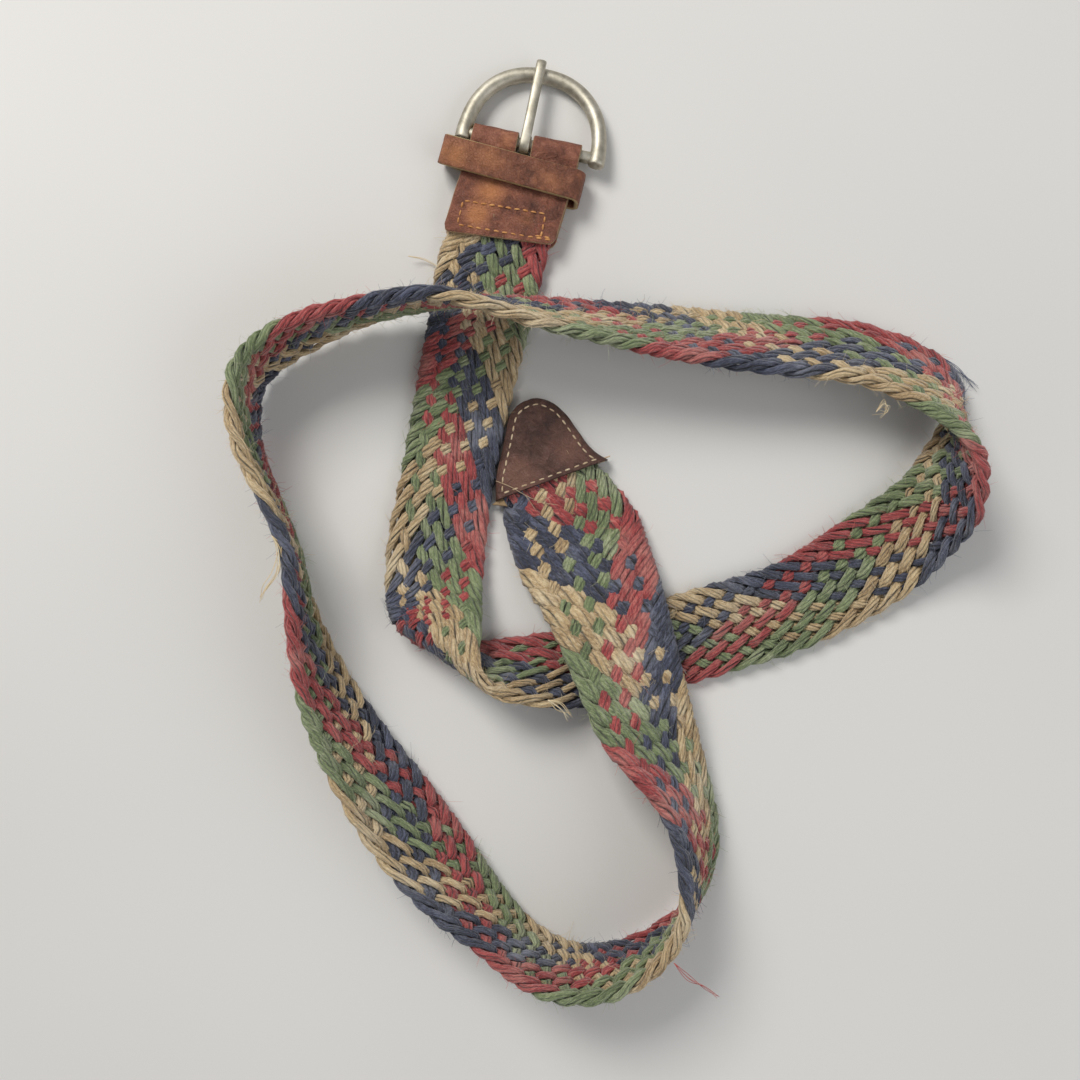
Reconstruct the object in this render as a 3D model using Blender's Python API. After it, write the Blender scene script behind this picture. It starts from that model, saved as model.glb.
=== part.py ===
"""Braided belt lying on a table in the loops of the photo. World metres, +Z up, table at z = 0."""

import math

import bpy
from mathutils import Vector

# Named sizes, in millimetres
MM = 0.001
LAY_SPAN = 300.0
BAND_WIDTH = 34.0
BAND_THICK = 5.0
BAND_THICK_IN_TAB = 3.8
BAND_THICK_IN_TIP = 3.2
BAND_STEP = 4.2
LEATHER = 1.4
GAP = 0.3
FLOOR_GAP = 0.1
TAB_WIDTH = 37.4
TAB_LENGTH = 33.0
TAB_PINCH = 2.6
BAND_IN_TAB = 13.0
BAND_HELD = 2.0
BAND_SWELL = 13.0
BAR_RADIUS = 2.0
WIRE_RADIUS = 2.55
ARM_END_RADIUS = 2.8
ARM_ROOM = 3.05
FRAME_REACH = 25.1
PRONG_WIDTH = 3.4
PRONG_SHEET = 1.4
PRONG_SHANK = 2.5
PRONG_OVERHANG = 1.2
SLOT_ROOM = 0.8
KEEPER_THICK = 1.6
KEEPER_WIDTH = 10.4
KEEPER_LENGTH = 49.2
TIP_WIDTH = 40.8
TIP_LENGTH = 28.2
TIP_SIDE_ROOM = 0.7

# Named turns and shapes
BAR_TURN_DEG = -11.5
KEEPER_TURN_DEG = -3.4
TIP_TURN_DEG = 20.2
FRAME_SQUARENESS = 2.2
TAB_SLANT = -0.074

# Sizes that follow from the others
BAR_CENTRE = (-0.0107 * LAY_SPAN, 0.4428 * LAY_SPAN)
BAR_ROOM = BAR_RADIUS + GAP
BAR_HEIGHT = KEEPER_THICK + GAP + LEATHER + BAR_ROOM
BAND_ROOM_IN_TAB = BAND_THICK_IN_TAB / 2 + 1.3 * GAP
FRAME_HALF_WIDTH = TAB_WIDTH / 2 + ARM_ROOM / 2 + WIRE_RADIUS + 0.1
FRAME_ARC_HEIGHT = WIRE_RADIUS + FLOOR_GAP
PRONG_PLACE = -0.05 * TAB_WIDTH
SLOT_WIDTH = PRONG_WIDTH + 2 * SLOT_ROOM
RING_ROUND = BAR_ROOM + PRONG_SHEET
SLOT_BACK = RING_ROUND + SLOT_ROOM
TIP_RIM = FLOOR_GAP + LEATHER + GAP
TIP_BAND_HEIGHT = TIP_RIM + BAND_THICK_IN_TIP / 2

COLOURS = {
    "woven_band": (0.42, 0.33, 0.24),
    "tab": (0.33, 0.15, 0.09),
    "keeper_loop": (0.34, 0.17, 0.09),
    "buckle_frame": (0.62, 0.61, 0.59),
    "prong": (0.66, 0.65, 0.62),
    "tip_front": (0.22, 0.11, 0.08),
    "tip_back": (0.22, 0.11, 0.08),
}

# The band's route from the tab to the tip. x and y: its middle, as shares of LAY_SPAN.
# lift: its right edge's height, as a share of BAND_THICK.
# wx, wy, wz: from its right edge to its left one, as shares of BAND_WIDTH.
ROUTE_COLUMNS = ("place", "x", "y", "lift", "wx", "wy", "wz")
ROUTE = [
    ("below_tab", -0.0567, 0.3073, 0.6, 1.059, -0.229, 0.0),
    ("under_top", -0.0697, 0.2442, 0.5, 1.012, -0.209, 0.0),
    ("first_a", -0.0878, 0.1597, 0.5, 0.95, -0.218, 0.0),
    ("first_b", -0.1053, 0.0685, 0.5, 0.941, -0.191, 0.0),
    ("first_c", -0.1175, -0.0073, 0.66, 0.997, -0.129, -0.006),
    ("fold_a", -0.1193, -0.0543, 1.5, 0.976, -0.071, -0.018),
    ("fold_b", -0.1167, -0.0888, 1.86, 0.935, -0.179, 0.15),
    ("fold_c", -0.111, -0.1167, 1.46, 0.806, -0.318, 0.356),
    ("fold_d", -0.096, -0.1327, 0.7, 0.694, -0.424, 0.512),
    ("fold_e", -0.0725, -0.1413, 0.5, 0.574, -0.5, 0.541),
    ("fold_f", -0.0377, -0.1457, 0.5, 0.418, -0.571, 0.482),
    ("arm_a", -0.0035, -0.146, 0.5, 0.315, -0.676, 0.365),
    ("arm_b", 0.0365, -0.1437, 0.5, 0.244, -0.776, 0.159),
    ("arm_c", 0.0803, -0.1343, 0.5, 0.218, -0.853, 0.041),
    ("arm_d", 0.2038, -0.0998, 0.5, 0.279, -0.879, 0.006),
    ("arm_e", 0.2862, -0.0733, 0.5, 0.356, -0.847, 0.012),
    ("arm_f", 0.3815, -0.0175, 0.5, 0.538, -0.826, 0.071),
    ("turn_a", 0.4225, 0.02, 0.5, 0.562, -0.647, 0.335),
    ("turn_b", 0.4417, 0.0475, 0.5, 0.5, -0.462, 0.688),
    ("turn_c", 0.4502, 0.079, 0.5, 0.35, -0.282, 0.865),
    ("turn_d", 0.4558, 0.1028, 0.5, 0.126, -0.303, 0.924),
    ("turn_e", 0.4563, 0.1235, 0.5, -0.1, -0.379, 0.924),
    ("turn_f", 0.4545, 0.1428, 0.5, -0.338, -0.444, 0.835),
    ("turn_g", 0.4388, 0.1637, 0.5, -0.45, -0.512, 0.747),
    ("top_a", 0.4075, 0.1857, 0.5, -0.403, -0.6, 0.659),
    ("top_b", 0.3493, 0.2065, 0.5, -0.194, -0.668, 0.629),
    ("top_c", 0.2827, 0.2133, 0.5, -0.071, -0.665, 0.629),
    ("top_d", 0.2177, 0.2188, 0.5, -0.076, -0.644, 0.688),
    ("top_e", 0.1363, 0.2285, 0.62, -0.071, -0.591, 0.759),
    ("top_f", 0.057, 0.2378, 1.26, -0.047, -0.468, 0.782),
    ("top_g", -0.0102, 0.2463, 1.74, -0.003, -0.359, 0.859),
    ("top_h", -0.0623, 0.2537, 1.78, 0.018, -0.224, 0.941),
    ("top_i", -0.1127, 0.2578, 1.74, 0.035, -0.074, 0.962),
    ("left_a", -0.1967, 0.2453, 0.86, 0.0, -0.012, 0.974),
    ("left_b", -0.2507, 0.2272, 0.5, 0.0, 0.109, 0.982),
    ("left_c", -0.2945, 0.2032, 0.5, -0.056, 0.115, 0.953),
    ("left_d", -0.317, 0.1772, 0.5, -0.059, 0.068, 0.953),
    ("left_e", -0.322, 0.1453, 0.5, -0.047, 0.006, 0.953),
    ("left_f", -0.3167, 0.102, 0.5, 0.006, 0.0, 0.953),
    ("left_g", -0.2882, 0.0342, 0.5, 0.091, 0.003, 0.953),
    ("left_h", -0.2707, -0.0108, 0.5, 0.1, 0.009, 0.938),
    ("left_i", -0.2603, -0.0708, 0.5, -0.018, 0.05, 0.924),
    ("low_a", -0.2467, -0.1227, 0.5, -0.218, 0.035, 0.909),
    ("low_b", -0.226, -0.1785, 0.5, -0.424, -0.05, 0.85),
    ("low_c", -0.1923, -0.2432, 0.5, -0.524, -0.279, 0.747),
    ("low_d", -0.1605, -0.2933, 0.5, -0.556, -0.441, 0.659),
    ("low_e", -0.1218, -0.3443, 0.5, -0.526, -0.465, 0.659),
    ("low_f", -0.085, -0.3853, 0.5, -0.406, -0.388, 0.762),
    ("low_g", -0.0502, -0.4178, 0.5, -0.244, -0.279, 0.85),
    ("low_h", -0.0187, -0.4465, 0.5, -0.188, -0.244, 0.894),
    ("low_i", 0.0253, -0.4687, 0.5, -0.153, -0.235, 0.909),
    ("low_j", 0.0707, -0.4693, 0.5, -0.053, -0.206, 0.924),
    ("low_k", 0.1105, -0.4537, 0.5, -0.015, -0.1, 0.938),
    ("rise_a", 0.1412, -0.4293, 0.5, -0.079, -0.006, 0.938),
    ("rise_b", 0.1613, -0.402, 0.5, -0.212, 0.059, 0.938),
    ("rise_c", 0.17, -0.3723, 0.5, -0.353, 0.053, 0.924),
    ("rise_d", 0.1722, -0.3407, 0.5, -0.456, 0.0, 0.879),
    ("rise_e", 0.1677, -0.3078, 0.5, -0.5, -0.074, 0.835),
    ("rise_f", 0.1548, -0.2717, 0.58, -0.579, -0.153, 0.794),
    ("tip_a", 0.1348, -0.2342, 1.06, -0.756, -0.244, 0.665),
    ("tip_b", 0.1158, -0.1975, 1.62, -0.915, -0.326, 0.494),
    ("tip_c", 0.0993, -0.1502, 1.82, -1.012, -0.321, 0.303),
    ("tip_d", 0.085, -0.1048, 1.78, -1.088, -0.321, 0.165),
    ("tip_e", 0.0688, -0.0615, 1.54, -1.174, -0.338, 0.059),
    ("tip_f", 0.0517, -0.0247, 0.98, -1.271, -0.365, 0.015),
    ("tip_g", 0.0385, 0.0108, 0.54, -1.279, -0.35, 0.0),
]

# Tab seen from the side: distance back from the bar as a share of TAB_LENGTH, how far its
# layers open for the bar and for the band, and how far it stands over the keeper's lower run
TAB_COLUMNS = ("back", "bar", "band", "over")
TAB_SIDE = [
    (0.047, 0.96, 0.0, 1.0),
    (0.122, 0.3, 0.0, 1.0),
    (0.225, 0.0, 0.0, 1.0),
    (0.348, 0.0, 0.0, 1.0),
    (0.512, 0.05, 0.0, 1.0),
    (0.592, 0.0, 1.0, 0.42),
    (0.733, 0.0, 1.0, 0.16),
    (1.0, 0.0, 1.0, 0.0),
]
# Tab seen from above: distance back as a share of TAB_LENGTH, its sides as shares of TAB_WIDTH
TAB_SIDES = [(0.0, -0.532, 0.460), (0.3, -0.556, 0.444), (1.0, -0.624, 0.388)]

# Prong seen from the side: reach as a share of the frame's, height from the arc to the ring's top,
# thickness as a share of PRONG_SHANK
PRONG_LINE = [
    (1.0, -0.5, 0.48),
    (0.975, -0.3, 0.84),
    (0.885, 0.0, 1.0),
    (0.69, 0.2, 1.0),
    (0.42, 0.55, 1.0),
    (0.2, 0.9, 0.88),
    (0.06, 1.0, 0.56),
]

# Rounded tip seen from above: distance from its base as a share of TIP_LENGTH,
# left and right side as shares of TIP_WIDTH
TIP_OUTLINE = [
    (0.0, -0.490, 0.510),
    (0.057, -0.475, 0.475),
    (0.142, -0.453, 0.431),
    (0.284, -0.409, 0.387),
    (0.496, -0.314, 0.348),
    (0.727, -0.213, 0.299),
    (0.876, -0.150, 0.235),
    (0.957, -0.086, 0.172),
    (1.0, -0.015, 0.108),
]
TIP_ACROSS = (0.0, 0.03, 0.08, 0.16, 0.5, 0.84, 0.92, 0.97, 1.0)
# Band's end under the tip: distance from the base, and width, as shares of the tip's
BAND_IN_TIP = [("tip_mouth", -0.25, 1.03, 0.5), ("tip_in", 0.0, 0.87, 1.0), ("tip_end", 0.3, 0.69, 1.0)]


def clear_scene():
    for thing in list(bpy.data.objects):
        bpy.data.objects.remove(thing, do_unlink=True)
    for group in list(bpy.data.collections):
        bpy.data.collections.remove(group)


def new_collection(name):
    group = bpy.data.collections.new(name)
    bpy.context.scene.collection.children.link(group)
    return group


def material(name, metallic, roughness):
    mat = bpy.data.materials.new(name)
    mat.use_nodes = True
    shader = mat.node_tree.nodes["Principled BSDF"]
    shader.inputs["Base Color"].default_value = (*COLOURS[name], 1.0)
    shader.inputs["Metallic"].default_value = metallic
    shader.inputs["Roughness"].default_value = roughness
    return mat


def add_object(name, points, faces, group, metallic=0.0, roughness=0.8):
    mesh = bpy.data.meshes.new(name)
    mesh.from_pydata([tuple(c * MM for c in p) for p in points], [], faces)
    mesh.validate()
    mesh.update()
    thing = bpy.data.objects.new(name, mesh)
    group.objects.link(thing)
    if name in COLOURS:
        mesh.materials.append(material(name, metallic, roughness))
    return thing


def loft(rings, closed=False):
    """Joins equal rings of points into one closed skin, with a flat cap on each end unless it closes."""
    count = len(rings[0])
    points = [p for ring in rings for p in ring]
    faces = []
    last = len(rings) if closed else len(rings) - 1
    for i in range(last):
        a = i * count
        b = ((i + 1) % len(rings)) * count
        for k in range(count):
            m = (k + 1) % count
            faces.append((a + k, a + m, b + m, b + k))
    if not closed:
        faces.append(tuple(reversed(range(count))))
        end = (len(rings) - 1) * count
        faces.append(tuple(end + k for k in range(count)))
    return points, faces


def sheet_caps(rings):
    """Flat ends, as strips, for rings that run along a sheet's one side and back along its other."""
    count = len(rings[0])
    faces = []
    for start, turned in ((0, False), ((len(rings) - 1) * count, True)):
        for k in range(count // 2 - 1):
            quad = (start + k, start + k + 1, start + count - 2 - k, start + count - 1 - k)
            faces.append(tuple(reversed(quad)) if turned else quad)
    return faces


def read_rows(rows, place):
    """Straight-line reading of a table whose first column rises."""
    if place <= rows[0][0]:
        return rows[0][1:]
    for low, high in zip(rows, rows[1:]):
        if place <= high[0]:
            t = (place - low[0]) / (high[0] - low[0])
            return tuple(a + (b - a) * t for a, b in zip(low[1:], high[1:]))
    return rows[-1][1:]


def spline_point(p0, p1, p2, p3, gaps, t):
    """One point between p1 and p2 of a smooth curve through all four, spaced by gaps."""
    t0 = 0.0
    t1 = t0 + gaps[0]
    t2 = t1 + gaps[1]
    t3 = t2 + gaps[2]
    x = t1 + (t2 - t1) * t
    a1 = p0 * ((t1 - x) / (t1 - t0)) + p1 * ((x - t0) / (t1 - t0))
    a2 = p1 * ((t2 - x) / (t2 - t1)) + p2 * ((x - t1) / (t2 - t1))
    a3 = p2 * ((t3 - x) / (t3 - t2)) + p3 * ((x - t2) / (t3 - t2))
    b1 = a1 * ((t2 - x) / (t2 - t0)) + a2 * ((x - t0) / (t2 - t0))
    b2 = a2 * ((t3 - x) / (t3 - t1)) + a3 * ((x - t1) / (t3 - t1))
    return b1 * ((t2 - x) / (t2 - t1)) + b2 * ((x - t1) / (t2 - t1))


def bar_frame():
    turn = math.radians(BAR_TURN_DEG)
    along = Vector((math.cos(turn), math.sin(turn), 0.0))
    front = Vector((-math.sin(turn), math.cos(turn), 0.0))
    return Vector((*BAR_CENTRE, 0.0)), along, front


def tab_layers(back):
    """Half gap between the tab's layers and the height of their middle."""
    bar, band, over = read_rows(TAB_SIDE, back / TAB_LENGTH)
    pinch = TAB_PINCH / 2
    half_gap = pinch + (BAR_ROOM - pinch) * bar + (BAND_ROOM_IN_TAB - pinch) * band
    under = FLOOR_GAP + (KEEPER_THICK + GAP - FLOOR_GAP) * over
    return half_gap, under + LEATHER + half_gap


def tab_point(back, place, height):
    """back: from the bar, in mm. place: 0 at the left side, 1 at the right."""
    centre, along, front = bar_frame()
    left, right = read_rows(TAB_SIDES, max(back, 0.0) / TAB_LENGTH)
    across = (left + (right - left) * place) * TAB_WIDTH
    slanted = max(back / TAB_LENGTH - 0.5, 0.0) * 2
    shift = back + TAB_SLANT * (across - (left + right) / 2 * TAB_WIDTH) * slanted
    return centre + along * across - front * shift + Vector((0, 0, height))


def tip_centre():
    """The tip lies beside the band's first stretch."""
    beside = -0.1095 * LAY_SPAN + 0.478 * BAND_WIDTH
    return Vector((beside + TIP_SIDE_ROOM + 0.479 * TIP_WIDTH, 0.0667 * LAY_SPAN, 0.0))


def tip_spot(reach, across, height):
    """reach and across as shares of the tip's length and width."""
    turn = math.radians(TIP_TURN_DEG)
    side = Vector((math.cos(turn), math.sin(turn), 0.0))
    out = Vector((-math.sin(turn), math.cos(turn), 0.0))
    flat = side * (across * TIP_WIDTH) + out * (reach * TIP_LENGTH)
    return tip_centre() + flat + Vector((0, 0, height))


def band_edges():
    """Left and right edge at each place of the route, ends held by the tab and the tip."""
    left, right = [], []
    for back in (TAB_LENGTH - BAND_IN_TAB, TAB_LENGTH):
        height = tab_layers(back)[1]
        right.append(tab_point(back, 0.035, height))
        left.append(tab_point(back, 0.965, height))
    for row in ROUTE:
        r = dict(zip(ROUTE_COLUMNS, row))
        centre = Vector((r["x"] * LAY_SPAN, r["y"] * LAY_SPAN, 0.0))
        across = Vector((r["wx"], r["wy"], r["wz"])) * BAND_WIDTH
        floor = Vector((0, 0, FLOOR_GAP + r["lift"] * BAND_THICK))
        flat = Vector((across.x, across.y, 0.0)) / 2
        right.append(centre - flat + floor)
        left.append(centre - flat + floor + across)
    for _, reach, width, lifted in BAND_IN_TIP:
        low = FLOOR_GAP + BAND_THICK / 2
        height = low + (TIP_BAND_HEIGHT - low) * lifted
        left.append(tip_spot(reach, -width * 0.47, height))
        right.append(tip_spot(reach, width * 0.47, height))
    return left, right


def band_lines():
    """Left and right edge all along the band, as a smooth curve through the route's places."""
    left, right = band_edges()
    middle = [(a + b) / 2 for a, b in zip(left, right)]
    for line in (left, right, middle):
        line.insert(0, line[0] * 2 - line[1])
        line.append(line[-1] * 2 - line[-2])
    gaps = [max((b - a).length, 0.1) ** 0.5 for a, b in zip(middle, middle[1:])]
    found = []
    for i in range(1, len(middle) - 2):
        span = max((left[i + 1] - left[i]).length, (right[i + 1] - right[i]).length)
        steps = max(2, math.ceil(span / BAND_STEP))
        for k in range(steps):
            t = k / steps
            ends = []
            for line in (left, right):
                ends.append(spline_point(*line[i - 1 : i + 3], gaps[i - 1 : i + 2], t))
            found.append(ends)
    found.append([left[-2], right[-2]])
    return found


def band_thickness(along, total):
    """Squeezed in the tab and in the tip, and plump between them."""
    held = BAND_IN_TAB + BAND_HELD
    rows = [
        (0.0, BAND_THICK_IN_TAB),
        (held, BAND_THICK_IN_TAB),
        (held + BAND_SWELL, BAND_THICK),
        (total - 0.68 * TIP_LENGTH, BAND_THICK),
        (total - 0.34 * TIP_LENGTH, BAND_THICK_IN_TIP),
        (total, BAND_THICK_IN_TIP),
    ]
    return read_rows(rows, along)[0]


def woven_band(group):
    lines = band_lines()
    middle = [(a + b) / 2 for a, b in lines]
    travelled = [0.0]
    for a, b in zip(middle, middle[1:]):
        travelled.append(travelled[-1] + (b - a).length)
    rings = []
    for i, (left, right) in enumerate(lines):
        ahead = middle[min(i + 1, len(middle) - 1)]
        behind = middle[max(i - 1, 0)]
        across = (left - right).normalized()
        up = (ahead - behind).cross(across).normalized()
        half = (left - right).length / 2
        thick = band_thickness(travelled[i], travelled[-1]) / 2
        bend = 0.29 * thick
        top = [
            (half, 0.0),
            (half - bend, 0.71 * thick),
            (half - thick, thick),
            (0.0, thick),
            (thick - half, thick),
            (bend - half, 0.71 * thick),
        ]
        under = [(-a, -b) for a, b in top]
        rings.append([middle[i] + across * a + up * b for a, b in top + under])
    band = add_object("woven_band", *loft(rings), group)
    tidy(band)
    return band


def leather_tab(group, cutters):
    """Leather folded round the bar and back, as one sheet, with a slot for the prong."""
    pairs = []
    for row in reversed(TAB_SIDE):
        back = row[0] * TAB_LENGTH
        half_gap, middle = tab_layers(back)
        pairs.append(((back, middle + half_gap), (back, middle + half_gap + LEATHER)))
    for k in range(9):
        angle = math.radians(90 + 22.5 * k)
        c, s = math.cos(angle), math.sin(angle)
        outer = BAR_ROOM + LEATHER
        near = (c * BAR_ROOM, BAR_HEIGHT + s * BAR_ROOM)
        pairs.append((near, (c * outer, BAR_HEIGHT + s * outer)))
    for row in TAB_SIDE:
        back = row[0] * TAB_LENGTH
        half_gap, middle = tab_layers(back)
        pairs.append(((back, middle - half_gap), (back, middle - half_gap - LEATHER)))
    rings = []
    for k in range(7):
        ring = [tab_point(b, k / 6, h) for (b, h), _ in pairs]
        ring += [tab_point(b, k / 6, h) for _, (b, h) in reversed(pairs)]
        rings.append(ring)
    points, faces = loft(rings)
    faces = [f for f in faces if len(f) == 4] + sheet_caps(rings)
    tab = add_object("tab", points, faces, group, 0.0, 0.6)
    tidy(tab)
    centre, along, front = bar_frame()
    box = []
    for back, out in ((-1, -1), (-1, 1), (1, 1), (1, -1)):
        shift = SLOT_BACK if back > 0 else 2 * RING_ROUND
        place = PRONG_PLACE + out * SLOT_WIDTH / 2
        box.append(centre + along * place - front * (back * shift))
    low = [p - Vector((0, 0, BAR_HEIGHT)) for p in box]
    high = [p + Vector((0, 0, 3 * BAR_HEIGHT)) for p in box]
    slot = add_object("prong_slot", *loft([low, high]), cutters)
    tidy(slot)
    slot.hide_render = True
    cut(tab, slot)
    return tab


def tidy(thing):
    """Turns every face outward."""
    bpy.context.view_layer.objects.active = thing
    thing.select_set(True)
    bpy.ops.object.mode_set(mode="EDIT")
    bpy.ops.mesh.select_all(action="SELECT")
    bpy.ops.mesh.normals_make_consistent(inside=False)
    bpy.ops.object.mode_set(mode="OBJECT")
    thing.select_set(False)


def cut(thing, cutter):
    step = thing.modifiers.new("slot", "BOOLEAN")
    step.operation = "DIFFERENCE"
    step.solver = "EXACT"
    step.object = cutter
    graph = bpy.context.evaluated_depsgraph_get()
    mesh = bpy.data.meshes.new_from_object(thing.evaluated_get(graph))
    thing.modifiers.clear()
    thing.data = mesh


def keeper_loop(group):
    """A flat leather loop round the tab, one run under it and one over it."""
    centre, along, front = bar_frame()
    turn = math.radians(KEEPER_TURN_DEG)
    way = along * math.cos(turn) + front * math.sin(turn)
    side = front * math.cos(turn) - along * math.sin(turn)
    back = SLOT_BACK + KEEPER_WIDTH / 2 - 0.3 * GAP
    middle = centre + along * (-0.12 * TAB_WIDTH) - front * back
    front_gap = tab_layers(back - KEEPER_WIDTH / 2 - 1.5)[0]
    height = 2 * (KEEPER_THICK + GAP + LEATHER + front_gap)
    half = KEEPER_LENGTH / 2

    def outline(inset):
        radius = 2 * KEEPER_THICK - inset
        found = []
        for end, level in ((1, -1), (1, 1), (-1, 1), (-1, -1)):
            start = {(1, -1): -90, (1, 1): 0, (-1, 1): 90, (-1, -1): 180}[(end, level)]
            for k in range(5):
                angle = math.radians(start + 22.5 * k)
                out = end * (half - 2 * KEEPER_THICK) + radius * math.cos(angle)
                up = height / 2 + level * (height / 2 - 2 * KEEPER_THICK)
                found.append((out, up + radius * math.sin(angle)))
        return found

    rings = []
    for inset, edge in ((0.0, -1), (0.0, 1), (KEEPER_THICK, 1), (KEEPER_THICK, -1)):
        shift = middle + side * (edge * KEEPER_WIDTH / 2)
        rings.append([shift + way * out + Vector((0, 0, z)) for out, z in outline(inset)])
    loop = add_object("keeper_loop", *loft(rings, closed=True), group, 0.0, 0.6)
    tidy(loop)
    return loop


def buckle_frame(group):
    """Half-round wire and its straight bar, one metal ring."""
    centre, along, front = bar_frame()
    drop = (BAR_HEIGHT - FRAME_ARC_HEIGHT) / FRAME_REACH
    out = (front - Vector((0, 0, drop))).normalized()
    centre = centre + Vector((0, 0, BAR_HEIGHT))
    path = []
    power = 2.0 / FRAME_SQUARENESS
    turns = 30
    for k in range(turns + 1):
        angle = math.pi * k / turns
        c, s = math.cos(angle), math.sin(angle)
        place = FRAME_HALF_WIDTH * math.copysign(abs(c) ** power, c)
        reach = FRAME_REACH * abs(s) ** power
        radius = ARM_END_RADIUS if k in (0, turns) else WIRE_RADIUS
        path.append((place, reach, radius))
    inner = FRAME_HALF_WIDTH - 1.3 * WIRE_RADIUS
    for share in (-1.0, -0.4, 0.4, 1.0):
        path.append((share * inner, 0.0, BAR_RADIUS))
    spots = [centre + along * p + out * r for p, r, _ in path]
    flat = along.cross(out).normalized()
    rings = []
    for i, spot in enumerate(spots):
        ahead = spots[(i + 1) % len(spots)] - spot
        behind = spot - spots[i - 1]
        way = (ahead.normalized() + behind.normalized()).normalized()
        side = flat.cross(way).normalized()
        radius = path[i][2]
        ring = []
        for k in range(12):
            angle = 2 * math.pi * k / 12
            ring.append(spot + side * (radius * math.cos(angle)) + flat * (radius * math.sin(angle)))
        rings.append(ring)
    frame = add_object("buckle_frame", *loft(rings, closed=True), group, 1.0, 0.4)
    tidy(frame)
    return frame


def prong(group):
    """One strip of metal that lies over the arc and curls round the bar."""
    centre, along, front = bar_frame()
    centre = centre + along * PRONG_PLACE
    middle_round = BAR_ROOM + PRONG_SHEET / 2
    reach = FRAME_REACH + WIRE_RADIUS + PRONG_OVERHANG
    low = FRAME_ARC_HEIGHT + WIRE_RADIUS + GAP + PRONG_SHANK / 2
    high = BAR_HEIGHT + middle_round
    line = []
    for share, rise, thick in PRONG_LINE:
        line.append((share * reach, low + (high - low) * rise, thick * PRONG_SHANK))
    for k in range(13):
        angle = math.radians(90 + 22.0 * k)
        spot = (middle_round * math.cos(angle), BAR_HEIGHT + middle_round * math.sin(angle))
        line.append((*spot, PRONG_SHEET))
    rings = []
    for i, (place, height, thick) in enumerate(line):
        ahead = line[min(i + 1, len(line) - 1)]
        behind = line[max(i - 1, 0)]
        way = Vector((ahead[0] - behind[0], ahead[1] - behind[1])).normalized()
        normal = Vector((-way[1], way[0]))
        half = PRONG_WIDTH / 2 * (0.6 if i == 0 else 1.0)
        edge = min(0.15 * PRONG_WIDTH, thick * 0.35)
        corners = [(half - edge, thick / 2), (half, thick / 2 - edge)]
        corners += [(a, -b) for a, b in reversed(corners)]
        corners += [(-a, -b) for a, b in corners]
        ring = []
        for out, lift in corners:
            spot = centre + front * (place + normal[0] * lift) + along * out
            ring.append(spot + Vector((0, 0, height + normal[1] * lift)))
        rings.append(ring)
    tongue = add_object("prong", *loft(rings), group, 1.0, 0.35)
    tidy(tongue)
    return tongue


def tip_layers(group):
    """The two leather layers of the tip, the upper one raised over the end of the band."""
    raised = BAND_THICK_IN_TIP + GAP
    slope = BAND_THICK_IN_TIP * 0.94

    def lift(row, share):
        width = (row[2] - row[1]) * TIP_WIDTH
        near = min(share * width, (1 - share) * width, (1 - row[0]) * TIP_LENGTH)
        t = min(near / slope, 1.0)
        return raised * math.sqrt(max(0.0, 1 - (1 - t) ** 2))

    rings = []
    for row in TIP_OUTLINE:
        under, over = [], []
        for share in TIP_ACROSS:
            across = row[1] + (row[2] - row[1]) * share
            height = TIP_RIM + lift(row, share)
            under.append(tip_spot(row[0], across, height))
            over.append(tip_spot(row[0], across, height + LEATHER))
        rings.append(under + over[::-1])
    points, faces = loft(rings)
    faces = [f for f in faces if len(f) == 4] + sheet_caps(rings)
    upper = add_object("tip_front", points, faces, group, 0.0, 0.6)
    tidy(upper)
    outline = [(r[0], r[1]) for r in TIP_OUTLINE]
    outline += [(r[0], r[2]) for r in reversed(TIP_OUTLINE)]
    low = [tip_spot(a, p, FLOOR_GAP) for a, p in outline]
    high = [tip_spot(a, p, FLOOR_GAP + LEATHER) for a, p in outline]
    lower = add_object("tip_back", *loft([low, high]), group, 0.0, 0.6)
    tidy(lower)
    return upper, lower


def centre_on_origin(group):
    """Puts the middle of the whole lay at the origin, on the table."""
    points = [v.co for thing in group.objects for v in thing.data.vertices]
    shift = Vector((0, 0, -min(p.z for p in points)))
    for k in (0, 1):
        shift[k] = -(min(p[k] for p in points) + max(p[k] for p in points)) / 2
    for thing in group.objects:
        for vertex in thing.data.vertices:
            vertex.co += shift
        thing.data.update()
    return shift


def main():
    clear_scene()
    group = new_collection("braided_belt")
    cutters = new_collection("cutters")
    woven_band(group)
    leather_tab(group, cutters)
    keeper_loop(group)
    buckle_frame(group)
    prong(group)
    tip_layers(group)
    centre_on_origin(group)


main()
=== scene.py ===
"""Braided belt on a pale table: sixteen strands in four colours, brown leather, a worn silver buckle."""

import math

import bmesh
import bpy
import numpy as np
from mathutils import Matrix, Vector, noise


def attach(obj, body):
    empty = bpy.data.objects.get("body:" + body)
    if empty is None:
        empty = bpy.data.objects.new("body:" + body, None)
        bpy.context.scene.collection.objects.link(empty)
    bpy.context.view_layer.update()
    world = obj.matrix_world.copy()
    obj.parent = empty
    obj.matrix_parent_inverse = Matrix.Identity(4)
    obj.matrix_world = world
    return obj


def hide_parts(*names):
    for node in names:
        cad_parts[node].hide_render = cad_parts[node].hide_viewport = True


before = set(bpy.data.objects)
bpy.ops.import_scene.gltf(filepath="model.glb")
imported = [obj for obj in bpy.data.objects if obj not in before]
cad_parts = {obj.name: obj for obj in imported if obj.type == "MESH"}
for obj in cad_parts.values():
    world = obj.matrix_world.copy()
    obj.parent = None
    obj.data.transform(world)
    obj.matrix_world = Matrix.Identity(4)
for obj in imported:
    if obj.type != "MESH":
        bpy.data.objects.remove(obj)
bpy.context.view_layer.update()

# Sizes in millimetres, as in the part's source
MM = 0.001
LAY_SPAN = 300.0
BAND_WIDTH = 34.0
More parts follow.
